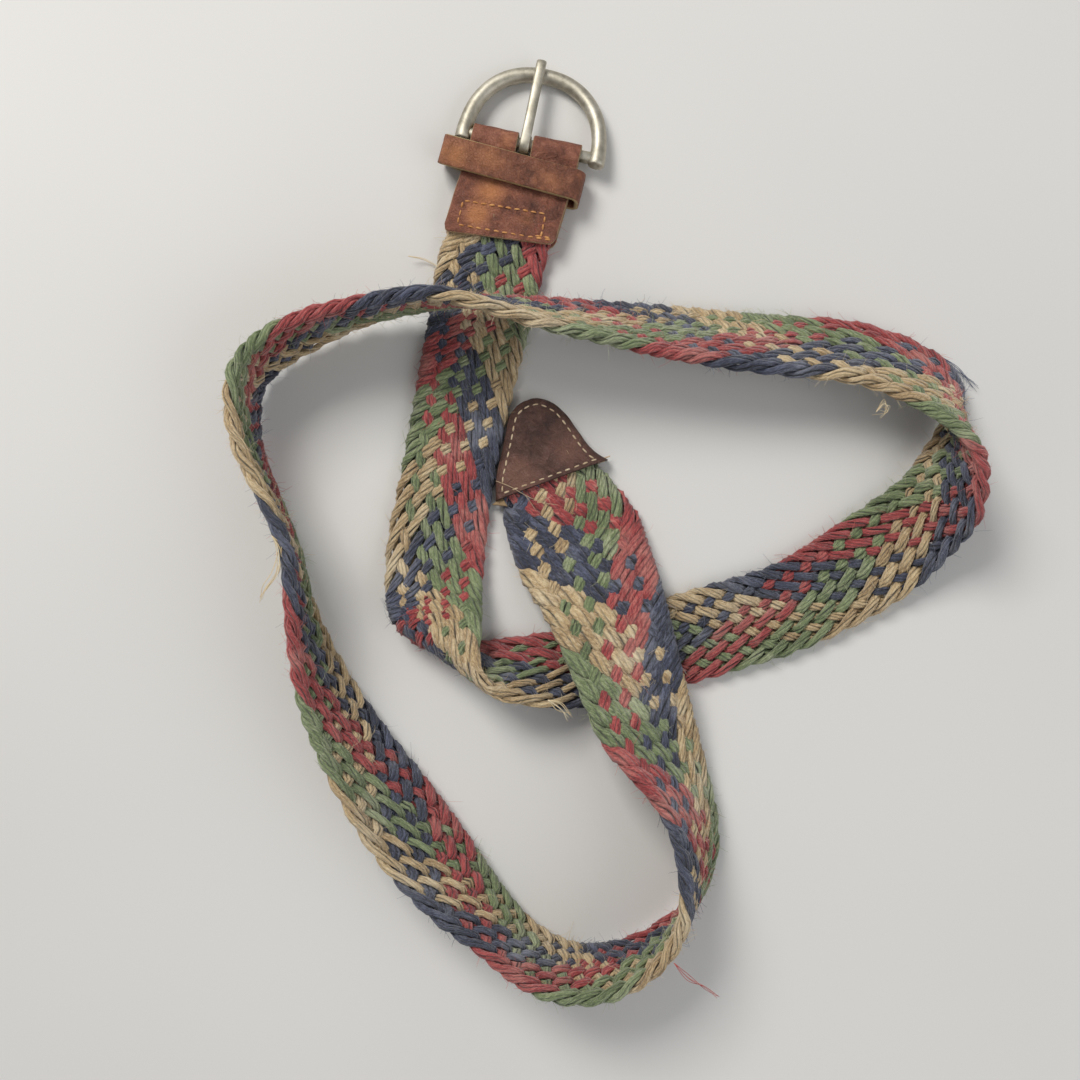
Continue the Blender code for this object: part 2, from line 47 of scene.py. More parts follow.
BAND_THICK = 5.0
BAND_THICK_IN_TAB = 3.8
BAND_THICK_IN_TIP = 3.2
BAND_STEP = 1.5
LEATHER = 1.4
GAP = 0.3
FLOOR_GAP = 0.1
FLOOR_LIFT = 0.01
TAB_WIDTH = 37.4
TAB_LENGTH = 33.0
TAB_PINCH = 2.6
BAND_IN_TAB = 13.0
BAND_HELD = 2.0
BAND_SWELL = 13.0
BAR_RADIUS = 2.0
WIRE_RADIUS = 2.55
ARM_END_RADIUS = 2.8
ARM_ROOM = 3.05
FRAME_REACH = 25.1
FRAME_SQUARENESS = 2.2
PRONG_WIDTH = 3.4
PRONG_SHEET = 1.4
PRONG_SHANK = 2.5
PRONG_OVERHANG = 1.2
SLOT_ROOM = 0.8
KEEPER_THICK = 1.6
KEEPER_WIDTH = 10.4
KEEPER_LENGTH = 49.2
KEEPER_TURN_DEG = -3.4
TIP_WIDTH = 40.8
TIP_LENGTH = 28.2
TIP_SIDE_ROOM = 0.7
TIP_CORNER_SHARE = 0.479
BAR_TURN_DEG = -11.5
TIP_TURN_DEG = 20.2
TAB_SLANT = -0.074
BAR_CENTRE = (-0.0107 * LAY_SPAN, 0.4428 * LAY_SPAN)
BAR_ROOM = BAR_RADIUS + GAP
BAR_HEIGHT = KEEPER_THICK + GAP + LEATHER + BAR_ROOM
BAND_ROOM_IN_TAB = BAND_THICK_IN_TAB / 2 + 1.3 * GAP
FRAME_HALF_WIDTH = TAB_WIDTH / 2 + ARM_ROOM / 2 + WIRE_RADIUS + 0.1
FRAME_ARC_HEIGHT = WIRE_RADIUS + FLOOR_GAP
PRONG_PLACE = -0.05 * TAB_WIDTH
SLOT_WIDTH = PRONG_WIDTH + 2 * SLOT_ROOM
SLOT_BACK = BAR_ROOM + PRONG_SHEET + SLOT_ROOM
TIP_RIM = FLOOR_GAP + LEATHER + GAP
TIP_BAND_HEIGHT = TIP_RIM + BAND_THICK_IN_TIP / 2
FIRST_RUN_SIDE = -0.1095 * LAY_SPAN + 0.478 * BAND_WIDTH
TIP_CENTRE = (FIRST_RUN_SIDE + TIP_SIDE_ROOM + TIP_CORNER_SHARE * TIP_WIDTH, 0.0667 * LAY_SPAN)
KEEPER_BACK = SLOT_BACK + KEEPER_WIDTH / 2 - 0.3 * GAP
KEEPER_PLACE = -0.12 * TAB_WIDTH
KEEPER_BEND = 2 * KEEPER_THICK
CENTRE_SHIFT = Vector((-21.714, -7.394, 0.0))
# Places across the tab where the band's edges lie in it
BAND_SIDES_IN_TAB = (0.035, 0.965)
# How far out the band's edges lie in the tip, as a share of the width that it has there
BAND_SHARE_IN_TIP = 0.47
LEAST_STEP = 0.1
EDGE_FLOW = 0.3

# The camera looks straight down on the lay
VIEW_HEIGHT = 400.0
VIEW_WIDTH = 369.36
SENSOR = 36.0

# Sixteen strands, four of each colour
STRANDS = 16
STRAND_COLOURS = ("navy", "red", "green", "tan")
YARNS = 6
YARN_SIDES = 5
STRAND_STEPS = 64
STRAND_THICK = 2.35
STRAND_WIDTH = 3.7
STRAND_WIDTHS = (3.0, 4.7)
STRAND_FULLNESS = 1.12
STRAND_SWELL = 0.12
STRAND_PLACES = 2 * STRANDS
CORNER_SHARPNESS = 0.995
CROSSING_STEEPNESS = 1.5
CROSSING_BIAS = 0.15
EDGE_ROLL = 1.3
END_ROOM = 0.6
TWIST_LENGTH = 24.0
YARN_WIDE = 0.4
YARN_HIGH = 0.45
FIBRE_TWIST = 15.0
OVER_IN_COLUMN = (1, 2, 4, 5, 7, 8, 10, 13)
ROWS_PER_TURN = 4
PITCH_REACH = 0.3
# How a yarn wanders, swells and changes shade along its strand: how much, and every how many steps
YARN_WANDER = (0.35, 9)
YARN_SWELL = (0.12, 5)
SHADE_DRIFT = (0.5, 12)
STRAND_SHADE = 0.6
YARN_SHADE = 0.7
YARN_SHIFT = 7.3
STRAND_SHIFT = 31.0
STRAND_SEED = 11

# Leather
RIM_ROUND = 0.38
RIM_PLACES = (0.14, 0.5, 0.86)
EDGE_SHADE = 0.35
SHOULDER = 0.35
SHOULDER_WIDTH = 2.2
LUMP_SHIFT = (7.1, 3.3, 5.7)
TAB_ROWS = 46
TAB_BEND_STEPS = 24
TAB_COLUMNS = (24, 8, 24)
TAB_CORNER = 2.6
# Lumps and grain: height in mm, size in mm, and the number that sets them apart
TAB_LUMPS = (0.16, 6.0, 1)
TAB_GRAIN = (0.1, 2.4, 2)
TAB_FOLD_LUMPS = (0.35, 7.0, 3)
TAB_FOLD_REACH = 4.0
KEEPER_LUMPS = (0.14, 5.0, 4)
KEEPER_GRAIN = (0.08, 1.6, 5)
KEEPER_GRAIN_STRETCH = (0.4, 1.0, 1.0)
TIP_LUMPS = (0.1, 6.0, 6)
TIP_GRAIN = (0.05, 1.8, 7)
# From: distance back, place across; to: the same; half width; depth. All in mm
TAB_CREASES = [
    (20.5, -3.6, 29.5, -4.6, 0.9, 0.4), (16.5, -1.5, 20.5, -3.0, 1.2, 0.22),
    (0.0, -16.0, 4.4, -5.0, 1.0, 0.4), (2.5, 4.0, 4.2, 14.0, 1.0, 0.3),
    (17.0, 10.0, 22.0, 7.0, 1.0, 0.2), (24.0, 1.0, 27.5, 9.0, 0.8, 0.22),
    (26.0, -2.0, 30.0, 3.0, 0.8, 0.16), (15.0, -17.0, 21.0, -15.0, 1.3, 0.15),
]
# Distance back, place across, size, strength
TAB_WORN = [(18.0, -10.0, 4.5, 0.9), (26.5, -13.0, 3.6, 1.0), (25.0, 4.0, 3.0, 0.35), (1.0, -8.0, 3.0, 0.4)]
KEEPER_COLUMNS = 14
KEEPER_BEND_STEPS = 8
KEEPER_END_STEPS = 4
KEEPER_RUN_STEPS = 60
# The keeper is as high as the tab this far in front of it, in mm
KEEPER_AHEAD = 1.5
# Places along the keeper's run, and how far its lower run lies askew there
KEEPER_ASKEW = ((-24.6, -16.0, 8.0, 20.0), (-3.2, -2.2, 0.0, 0.9))
# As the tab's creases and worn spots, but by the place along the keeper's run and the place across it. Its
# pale spots at the left end and the middle are wear and a painted highlight
KEEPER_CREASES = [
    (-14.0, 3.5, 2.0, 1.0, 0.8, 0.2), (2.0, 1.0, 20.0, 2.5, 0.7, 0.16),
    (-18.0, -2.0, -6.0, -3.0, 0.8, 0.14), (4.0, -3.5, 16.0, -1.5, 0.9, 0.16),
    (-4.0, 4.0, 6.0, -4.0, 0.7, 0.12),
]
KEEPER_WEAR_AND_HIGHLIGHT = [(-19.0, -1.0, 4.0, 0.9), (-8.0, 1.0, 5.0, 0.5), (14.0, -2.0, 5.0, 0.35)]
TIP_ROWS = 44
TIP_COLUMNS = 44
TIP_CURVE_STEPS = 8
TIP_LAST_ROW = 0.985
TIP_ROW_CROWDING = 1.6
TIP_SLOPE = BAND_THICK_IN_TIP * 0.94
# As the tab's, but by the distance from the tip's base and the place across it
TIP_CREASES = [(20.0, -1.0, 13.0, 8.0, 0.8, 0.15), (10.0, 4.0, 6.0, 14.0, 0.8, 0.12)]
TIP_WORN = [(5.0, -9.0, 7.0, 1.0), (8.0, 9.0, 6.0, 0.7)]
# The folded corner, off the tip and over the band's edge: pixels of the photograph with a height in mm
FOLDED_CORNER = [(501.5, 496.5, 3.4), (492.0, 505.0, 2.2), (508.0, 506.5, 5.6)]
CORNER_CELLS = 6
CORNER_BLUNT = 0.12
CORNER_THICK = 0.9

# Thread
THREAD = 0.34
TAB_PITCH = 2.9
TAB_STITCH = 2.1
TIP_PITCH = 3.0
TIP_STITCH = 2.3
TIP_THREAD = 0.29
TIP_STITCH_ROOM = 2.4
TIP_BASE_ROOM = 1.5
TIP_BASE_REACH = 1.2
TIP_BASE_POINTS = 40
RIM_GROOVE = 0.35
BASE_GROOVE = 0.25
GROOVE_WIDTH = 0.8
UNDER_STITCHES = FLOOR_GAP + THREAD * 1.4
STITCH_SIDES = 6
STITCH_RINGS = 8
STITCH_STRAY = 0.1
STITCH_SKEW = 0.12
STITCH_ROUNDNESS = 0.6
STITCH_RISE = 0.55
STITCH_SINK = 0.3
STITCH_END = 0.4
STITCH_SIZES = (0.85, 1.15)
STITCH_FLATNESS = 0.8
THREAD_TWIST = 2.6
TAB_RUN_POINTS = 24
TAB_THREAD_SEED = 5
TIP_THREAD_SEED = 6
# Each run of stitches: distance back in mm and place across, from and to
TAB_STITCHES = [
    ((22.7, 0.104), (22.4, 0.848)), ((22.9, 0.848), (31.2, 0.866)), ((30.4, 0.115), (31.4, 0.97)),
    ((22.9, 0.104), (30.3, 0.115)), ((30.5, 0.8), (30.7, 0.96)),
]

# Loose fibre, placed by pixels of the photograph
PIXEL = 0.342
HALF_PHOTO = 540.0
HAIRS = 2300
HAIR_SEED = 23
HAIR_SIDES = 3
HAIR_POINTS = 4
HAIR_LENGTH = 2.6
HAIR_LENGTHS = (0.5, 1.6)
HAIR_THICK = 0.055
HAIR_THICKNESSES = (0.7, 1.3)
HAIR_ROOT = 0.8
HAIR_LIFT = (0.1, 0.9)
HAIR_LEAN = 0.5
HAIR_BEND = 0.5
HAIR_END = 0.55
HAIR_REFERENCE = (0.31, 0.22, 0.93)
STRAY_SAG = 1.5
STRAY_LOWEST = 1.0
NEAR_EDGE_POINTS = 12
# Colour, half thickness in mm, how many hairs, their spread in mm, and pixels of the photograph
STRAYS = [
    ("tan", 0.14, 3, 0.3, [(408, 256), (424, 260), (439, 268)]),
    ("red", 0.13, 4, 0.4, [(674, 963), (690, 978), (706, 988), (718, 996)]),
    ("tan", 0.2, 5, 0.6, [(272, 536), (281, 548), (276, 572), (265, 588), (259, 599)]),
    ("tan", 0.13, 6, 0.9, [(876, 412), (884, 404), (888, 410), (880, 414)]),
    ("navy", 0.13, 7, 0.9, [(942, 357), (958, 370), (973, 388)]),
    ("tan", 0.2, 5, 0.5, [(548, 700), (560, 707), (570, 716)]),
]
# Half thickness in mm, and pixels of the photograph with a height in mm
TIP_THREADS = [
    (0.13, [(496, 481, 5.6), (511, 487, 7.0), (525, 495, 6.8), (541, 502, 6.0), (558, 505, 5.8)]),
    (0.11, [(525, 495, 6.8), (531, 503, 6.2), (536, 511, 5.8)]),
    (0.4, [(593, 462, 3.4), (600, 460, 3.0), (606, 457.5, 2.6), (610, 456, 2.4)]),
    (0.25, [(594, 464, 3.2), (601, 462, 2.8), (605, 461, 2.4)]),
]
TIP_THREAD_SIDES = 5

# Metal
WIRE_STEPS = 110
WIRE_SIDES = 28
BAR_RINGS = 9
ARM_SWELL_REACH = 3.0
# The arm's blunt end: distance in front of the bar and radius, both as shares of its radius
ARM_END = [(-0.92, 0.62), (-0.92, 0.8), (-0.86, 0.93), (-0.74, 1.0), (-0.3, 1.0), (0.2, 0.99)]
PRONG_NOSE = (0.45, 0.72, 0.86, 0.94, 0.98)
PRONG_SIDES = 24
PRONG_STEPS = 5
PRONG_BOXINESS = 0.75
EYE_STEPS = 13
EYE_STEP_DEG = 22.0

# Where the colours change along the edges, every quarter turn of a strand: at the left and the right edge,
# in mm from the tab
FIRST_TURN = -1.0
TURN_PLACES = [
    (-26, -26), (1, 3), (27, 33), (48, 52), (75, 70), (104, 98), (130, 137), (151, 152),
    (192, 198), (222, 226), (252, 253), (283, 282), (316, 310), (341, 345), (366, 366), (387, 386),
    (425, 430), (461, 451), (484, 476), (512, 503), (549, 532), (575, 566), (602, 606), (626, 636),
    (664, 655), (696, 688), (726, 729), (752, 767), (789, 798), (820, 826), (843, 851), (872, 866),
    (903, 906), (933, 943), (963, 976), (996, 1009), (1025, 1039), (1050, 1064), (1078, 1090), (1110, 1118),
]

# Places along the band: its middle on the floor as shares of the lay's span, how high the middle of its lower
# edge lies in band thicknesses, and the way across it from right to left as shares of its width
ROUTE_COLUMNS = ("place", "x", "y", "lift", "wx", "wy", "wz")
ROUTE = [
    ("below_tab", -0.0567, 0.3073, 0.6, 1.059, -0.229, 0.0),
    ("under_top", -0.0697, 0.2442, 0.5, 1.012, -0.209, 0.0),
    ("first_a", -0.0878, 0.1597, 0.5, 0.95, -0.218, 0.0),
    ("first_b", -0.1053, 0.0685, 0.5, 0.941, -0.191, 0.0),
    ("first_c", -0.1175, -0.0073, 0.66, 0.997, -0.129, -0.006),
    ("fold_a", -0.1193, -0.0543, 1.5, 0.976, -0.071, -0.018),
    ("fold_b", -0.1167, -0.0888, 1.86, 0.935, -0.179, 0.15),
    ("fold_c", -0.111, -0.1167, 1.46, 0.806, -0.318, 0.356),
    ("fold_d", -0.096, -0.1327, 0.7, 0.694, -0.424, 0.512),
    ("fold_e", -0.0725, -0.1413, 0.5, 0.574, -0.5, 0.541),
    ("fold_f", -0.0377, -0.1457, 0.5, 0.418, -0.571, 0.482),
    ("arm_a", -0.0035, -0.146, 0.5, 0.315, -0.676, 0.365),
    ("arm_b", 0.0365, -0.1437, 0.5, 0.244, -0.776, 0.159),
    ("arm_c", 0.0803, -0.1343, 0.5, 0.218, -0.853, 0.041),
    ("arm_d", 0.2038, -0.0998, 0.5, 0.279, -0.879, 0.006),
    ("arm_e", 0.2862, -0.0733, 0.5, 0.356, -0.847, 0.012),
    ("arm_f", 0.3815, -0.0175, 0.5, 0.538, -0.826, 0.071),
    ("turn_a", 0.4225, 0.02, 0.5, 0.562, -0.647, 0.335),
    ("turn_b", 0.4417, 0.0475, 0.5, 0.5, -0.462, 0.688),
    ("turn_c", 0.4502, 0.079, 0.5, 0.35, -0.282, 0.865),
    ("turn_d", 0.4558, 0.1028, 0.5, 0.126, -0.303, 0.924),
    ("turn_e", 0.4563, 0.1235, 0.5, -0.1, -0.379, 0.924),
    ("turn_f", 0.4545, 0.1428, 0.5, -0.338, -0.444, 0.835),
    ("turn_g", 0.4388, 0.1637, 0.5, -0.45, -0.512, 0.747),
    ("top_a", 0.4075, 0.1857, 0.5, -0.403, -0.6, 0.659),
    ("top_b", 0.3493, 0.2065, 0.5, -0.194, -0.668, 0.629),
    ("top_c", 0.2827, 0.2133, 0.5, -0.071, -0.665, 0.629),
    ("top_d", 0.2177, 0.2188, 0.5, -0.076, -0.644, 0.688),
    ("top_e", 0.1363, 0.2285, 0.62, -0.071, -0.591, 0.759),
    ("top_f", 0.057, 0.2378, 1.26, -0.047, -0.468, 0.782),
    ("top_g", -0.0102, 0.2463, 1.74, -0.003, -0.359, 0.859),
    ("top_h", -0.0623, 0.2537, 1.78, 0.018, -0.224, 0.941),
    ("top_i", -0.1127, 0.2578, 1.74, 0.035, -0.074, 0.962),
    ("left_a", -0.1967, 0.2453, 0.86, 0.0, -0.012, 0.974),
    ("left_b", -0.2507, 0.2272, 0.5, 0.0, 0.109, 0.982),
    ("left_c", -0.2945, 0.2032, 0.5, -0.056, 0.115, 0.953),
    ("left_d", -0.317, 0.1772, 0.5, -0.059, 0.068, 0.953),
    ("left_e", -0.322, 0.1453, 0.5, -0.047, 0.006, 0.953),
    ("left_f", -0.3167, 0.102, 0.5, 0.006, 0.0, 0.953),
    ("left_g", -0.2882, 0.0342, 0.5, 0.091, 0.003, 0.953),
    ("left_h", -0.2707, -0.0108, 0.5, 0.1, 0.009, 0.938),
    ("left_i", -0.2603, -0.0708, 0.5, -0.018, 0.05, 0.924),
    ("low_a", -0.2467, -0.1227, 0.5, -0.218, 0.035, 0.909),
    ("low_b", -0.226, -0.1785, 0.5, -0.424, -0.05, 0.85),
    ("low_c", -0.1923, -0.2432, 0.5, -0.524, -0.279, 0.747),
    ("low_d", -0.1605, -0.2933, 0.5, -0.556, -0.441, 0.659),
    ("low_e", -0.1218, -0.3443, 0.5, -0.526, -0.465, 0.659),
    ("low_f", -0.085, -0.3853, 0.5, -0.406, -0.388, 0.762),
    ("low_g", -0.0502, -0.4178, 0.5, -0.244, -0.279, 0.85),
    ("low_h", -0.0187, -0.4465, 0.5, -0.188, -0.244, 0.894),
    ("low_i", 0.0253, -0.4687, 0.5, -0.153, -0.235, 0.909),
    ("low_j", 0.0707, -0.4693, 0.5, -0.053, -0.206, 0.924),
    ("low_k", 0.1105, -0.4537, 0.5, -0.015, -0.1, 0.938),
    ("rise_a", 0.1412, -0.4293, 0.5, -0.079, -0.006, 0.938),
    ("rise_b", 0.1613, -0.402, 0.5, -0.212, 0.059, 0.938),
    ("rise_c", 0.17, -0.3723, 0.5, -0.353, 0.053, 0.924),
    ("rise_d", 0.1722, -0.3407, 0.5, -0.456, 0.0, 0.879),
    ("rise_e", 0.1677, -0.3078, 0.5, -0.5, -0.074, 0.835),
    ("rise_f", 0.1548, -0.2717, 0.58, -0.579, -0.153, 0.794),
    ("tip_a", 0.1348, -0.2342, 1.06, -0.756, -0.244, 0.665),
    ("tip_b", 0.1158, -0.1975, 1.62, -0.915, -0.326, 0.494),
    ("tip_c", 0.0993, -0.1502, 1.82, -1.012, -0.321, 0.303),
    ("tip_d", 0.085, -0.1048, 1.78, -1.088, -0.321, 0.165),
    ("tip_e", 0.0688, -0.0615, 1.54, -1.174, -0.338, 0.059),
    ("tip_f", 0.0517, -0.0247, 0.98, -1.271, -0.365, 0.015),
    ("tip_g", 0.0385, 0.0108, 0.54, -1.279, -0.35, 0.0),
]

# Share of the tab's length back from the bar, and how far its layers there leave room for the bar and for the
# band and lie as high as over the keeper, each from 0 to 1
TAB_SIDE = [
    (0.047, 0.96, 0.0, 1.0),
    (0.122, 0.3, 0.0, 1.0),
    (0.225, 0.0, 0.0, 1.0),
    (0.348, 0.0, 0.0, 1.0),
    (0.512, 0.05, 0.0, 1.0),
    (0.592, 0.0, 1.0, 0.42),
    (0.733, 0.0, 1.0, 0.16),
    (1.0, 0.0, 1.0, 0.0),
]
# Share of the tab's length, and its left and right side as shares of its width
TAB_SIDES = [(0.0, -0.532, 0.460), (0.3, -0.556, 0.444), (1.0, -0.624, 0.388)]
# Share of the prong's reach, share of the rise from nose to eye, thickness as a share of the shank's
PRONG_LINE = [
    (1.0, -0.5, 0.48),
    (0.975, -0.3, 0.84),
    (0.885, 0.0, 1.0),
    (0.69, 0.2, 1.0),
    (0.42, 0.55, 1.0),
    (0.2, 0.9, 0.88),
    (0.06, 1.0, 0.56),
]
# Share of the tip's length from its base, and its left and right side as shares of its width
TIP_OUTLINE = [
    (0.0, -0.490, 0.510),
    (0.057, -0.475, 0.475),
    (0.142, -0.453, 0.431),
    (0.284, -0.409, 0.387),
    (0.496, -0.314, 0.348),
    (0.727, -0.213, 0.299),
    (0.876, -0.150, 0.235),
    (0.957, -0.086, 0.172),
    (1.0, -0.015, 0.108),
]
# Place, share of the tip's length, share of its width that the band fills, share of the lift to its height
BAND_IN_TIP = [("tip_mouth", -0.25, 1.03, 0.5), ("tip_in", 0.0, 0.87, 1.0), ("tip_end", 0.3, 0.69, 1.0)]


def read_rows(rows, place):
    """Straight-line reading of a table whose first column rises."""
    if place <= rows[0][0]:
        return rows[0][1:]
    for low, high in zip(rows, rows[1:]):
        if place <= high[0]:
            t = (place - low[0]) / (high[0] - low[0])
            return tuple(a + (b - a) * t for a, b in zip(low[1:], high[1:]))
    return rows[-1][1:]


def spline_point(p0, p1, p2, p3, gaps, t):
    """One point between p1 and p2 of a smooth curve through all four, spaced by gaps."""
    t0 = 0.0
    t1 = t0 + gaps[0]
    t2 = t1 + gaps[1]
    t3 = t2 + gaps[2]
    x = t1 + (t2 - t1) * t
    a1 = p0 * ((t1 - x) / (t1 - t0)) + p1 * ((x - t0) / (t1 - t0))
    a2 = p1 * ((t2 - x) / (t2 - t1)) + p2 * ((x - t1) / (t2 - t1))
    a3 = p2 * ((t3 - x) / (t3 - t2)) + p3 * ((x - t2) / (t3 - t2))
    b1 = a1 * ((t2 - x) / (t2 - t0)) + a2 * ((x - t0) / (t2 - t0))
    b2 = a2 * ((t3 - x) / (t3 - t1)) + a3 * ((x - t1) / (t3 - t1))
    return b1 * ((t2 - x) / (t2 - t1)) + b2 * ((x - t1) / (t2 - t1))


def knot_gaps(line):
    """Spacing between the points of a smooth curve: the root of each step's length."""
    return [max((b - a).length, LEAST_STEP) ** 0.5 for a, b in zip(line, line[1:])]


def smooth_line(spots, steps=6):
    """A smooth line through a few points."""
    line = [Vector(p) for p in spots]
    line = [line[0] * 2 - line[1], *line, line[-1] * 2 - line[-2]]
    gaps = knot_gaps(line)
    found = []
    for i in range(1, len(line) - 2):
        for k in range(steps):
            found.append(spline_point(*line[i - 1 : i + 3], gaps[i - 1 : i + 2], k / steps))
    return np.array([tuple(p) for p in found + [line[-2]]])


def bar_frame():
    """The bar's middle on the floor, the way along it and the way to the buckle's front."""
    turn = math.radians(BAR_TURN_DEG)
    along = Vector((math.cos(turn), math.sin(turn), 0.0))
    front = Vector((-math.sin(turn), math.cos(turn), 0.0))
    return Vector((*BAR_CENTRE, 0.0)) + CENTRE_SHIFT, along, front


def tab_layers(back):
    """Half gap between the tab's layers and the height of their middle."""
    bar, band, over = read_rows(TAB_SIDE, back / TAB_LENGTH)
    pinch = TAB_PINCH / 2
    half_gap = pinch + (BAR_ROOM - pinch) * bar + (BAND_ROOM_IN_TAB - pinch) * band
    under = FLOOR_GAP + (KEEPER_THICK + GAP - FLOOR_GAP) * over
    return half_gap, under + LEATHER + half_gap


def tab_point(back, place, height):
    """back: from the bar, in mm. place: 0 at the left side, 1 at the right."""
    centre, along, front = bar_frame()
    left, right = read_rows(TAB_SIDES, max(back, 0.0) / TAB_LENGTH)
    across = (left + (right - left) * place) * TAB_WIDTH
    slanted = max(back / TAB_LENGTH - 0.5, 0.0) * 2
    shift = back + TAB_SLANT * (across - (left + right) / 2 * TAB_WIDTH) * slanted
    return centre + along * across - front * shift + Vector((0, 0, height))


def tip_spot(reach, across, height):
    """reach and across as shares of the tip's length and width."""
    turn = math.radians(TIP_TURN_DEG)
    side = Vector((math.cos(turn), math.sin(turn), 0.0))
    out = Vector((-math.sin(turn), math.cos(turn), 0.0))
    flat = side * (across * TIP_WIDTH) + out * (reach * TIP_LENGTH)
    return Vector((*TIP_CENTRE, 0.0)) + CENTRE_SHIFT + flat + Vector((0, 0, height))


def band_edges():
    """Left and right edge at each place of the route, ends held by the tab and the tip."""
    left, right = [], []
    for back in (TAB_LENGTH - BAND_IN_TAB, TAB_LENGTH):
        height = tab_layers(back)[1]
        for line, place in zip((right, left), BAND_SIDES_IN_TAB):
            line.append(tab_point(back, place, height))
    for row in ROUTE:
        spot = dict(zip(ROUTE_COLUMNS, row))
        centre = Vector((spot["x"] * LAY_SPAN, spot["y"] * LAY_SPAN, 0.0)) + CENTRE_SHIFT
        across = Vector((spot["wx"], spot["wy"], spot["wz"])) * BAND_WIDTH
        floor = Vector((0, 0, FLOOR_GAP + spot["lift"] * BAND_THICK))
        flat = Vector((across.x, across.y, 0.0)) / 2
        right.append(centre - flat + floor)
        left.append(centre - flat + floor + across)
    for _, reach, width, lifted in BAND_IN_TIP:
        low = FLOOR_GAP + BAND_THICK / 2
        height = low + (TIP_BAND_HEIGHT - low) * lifted
        left.append(tip_spot(reach, -width * BAND_SHARE_IN_TIP, height))
        right.append(tip_spot(reach, width * BAND_SHARE_IN_TIP, height))
    return left, right


def band_lines():
    """Left and right edge all along the band, as a smooth curve through the route's places."""
    left, right = band_edges()
    middle = [(a + b) / 2 for a, b in zip(left, right)]
    for line in (left, right, middle):
        line.insert(0, line[0] * 2 - line[1])
        line.append(line[-1] * 2 - line[-2])
    gaps = knot_gaps(middle)
    found = []
    for i in range(1, len(middle) - 2):
        span = max((left[i + 1] - left[i]).length, (right[i + 1] - right[i]).length)
        steps = max(2, math.ceil(span / BAND_STEP))
        for k in range(steps):
            t = k / steps
            ends = []
            for line in (left, right):
                ends.append(spline_point(*line[i - 1 : i + 3], gaps[i - 1 : i + 2], t))
            found.append(ends)
    found.append([left[-2], right[-2]])
    return found


def unit(rows):
    """Each row of an array made one long."""
    return rows / np.maximum(np.linalg.norm(rows, axis=-1, keepdims=True), 1e-9)


def travel(line):
    """Distance in mm from a line's first point to each of its points."""
    return np.concatenate([[0.0], np.cumsum(np.linalg.norm(np.diff(line, axis=0), axis=1))])


class BandSurface:
    """The band's middle surface.

    s: mm along it from the tab. v: from -1 at its right edge to 1 at its left.
    """

    def __init__(self):
        lines = band_lines()
        self.left = np.array([tuple(a) for a, _ in lines])
        self.right = np.array([tuple(b) for _, b in lines])
        middle = (self.left + self.right) / 2
        self.s = travel(middle)
        self.total = float(self.s[-1])
        across = unit(self.left - self.right)
        flow = np.gradient(middle, axis=0)
        self.up_left = unit(np.cross(np.gradient(self.left, axis=0) + EDGE_FLOW * flow, across))
        self.up_right = unit(np.cross(np.gradient(self.right, axis=0) + EDGE_FLOW * flow, across))
        held = BAND_IN_TAB + BAND_HELD
        self.thick_rows = (
            [0.0, held, held + BAND_SWELL]
            + [self.total - 0.68 * TIP_LENGTH, self.total - 0.34 * TIP_LENGTH, self.total],
            [BAND_THICK_IN_TAB] * 2 + [BAND_THICK] * 2 + [BAND_THICK_IN_TIP] * 2,
        )

    def read(self, table, s):
        """Rows of a table of this surface at places s."""
        return np.stack([np.interp(s, self.s, table[:, k]) for k in range(3)], axis=-1)

    def at(self, s, v):
        """Points, the ways across to the left, and the ways up out of the surface, with half the width."""
        left, right = self.read(self.left, s), self.read(self.right, s)
        half = (left - right) / 2
        share = (v[..., None] + 1) / 2
        up = self.read(self.up_right, s) * (1 - share) + self.read(self.up_left, s) * share
        return (left + right) / 2 + half * v[..., None], unit(half), unit(up), np.linalg.norm(half, axis=-1)

    def thick(self, s):
        """How thick the band is at places s."""
        return np.interp(s, *self.thick_rows)


BAND = BandSurface()


def add_mesh(name, points, faces, layers=None, smooth=True, lowest=FLOOR_LIFT):
    """A named mesh from points in mm. layers: number per point, by name, for its materials.

    lowest: no point lies under this height.
    """
    points = np.array(points, dtype=float)
    points[:, 2] = np.maximum(points[:, 2], lowest)
    mesh = bpy.data.meshes.new(name)
    mesh.from_pydata((points * MM).tolist(), [], faces if isinstance(faces, list) else faces.tolist())
    for key, values in (layers or {}).items():
        layer = mesh.attributes.new(key, "FLOAT", "POINT")
        layer.data.foreach_set("value", np.asarray(values, dtype=np.float32))
    mesh.polygons.foreach_set("use_smooth", [smooth] * len(mesh.polygons))
    mesh.update()
    thing = bpy.data.objects.new(name, mesh)
    bpy.context.scene.collection.objects.link(thing)
    return thing


def tube_faces(count, sides, start):
    """Faces of one tube of count rings whose first point is start, with both ends closed."""
    ring = np.arange(sides)
    base = start + np.arange(count - 1)[:, None] * sides
    a = base + ring
    b = base + (ring + 1) % sides
    quads = np.stack([a, b, b + sides, a + sides], axis=-1).reshape(-1, 4).tolist()
    last = start + (count - 1) * sides
    return quads + [list(range(start + sides - 1, start - 1, -1)), list(range(last, last + sides))]


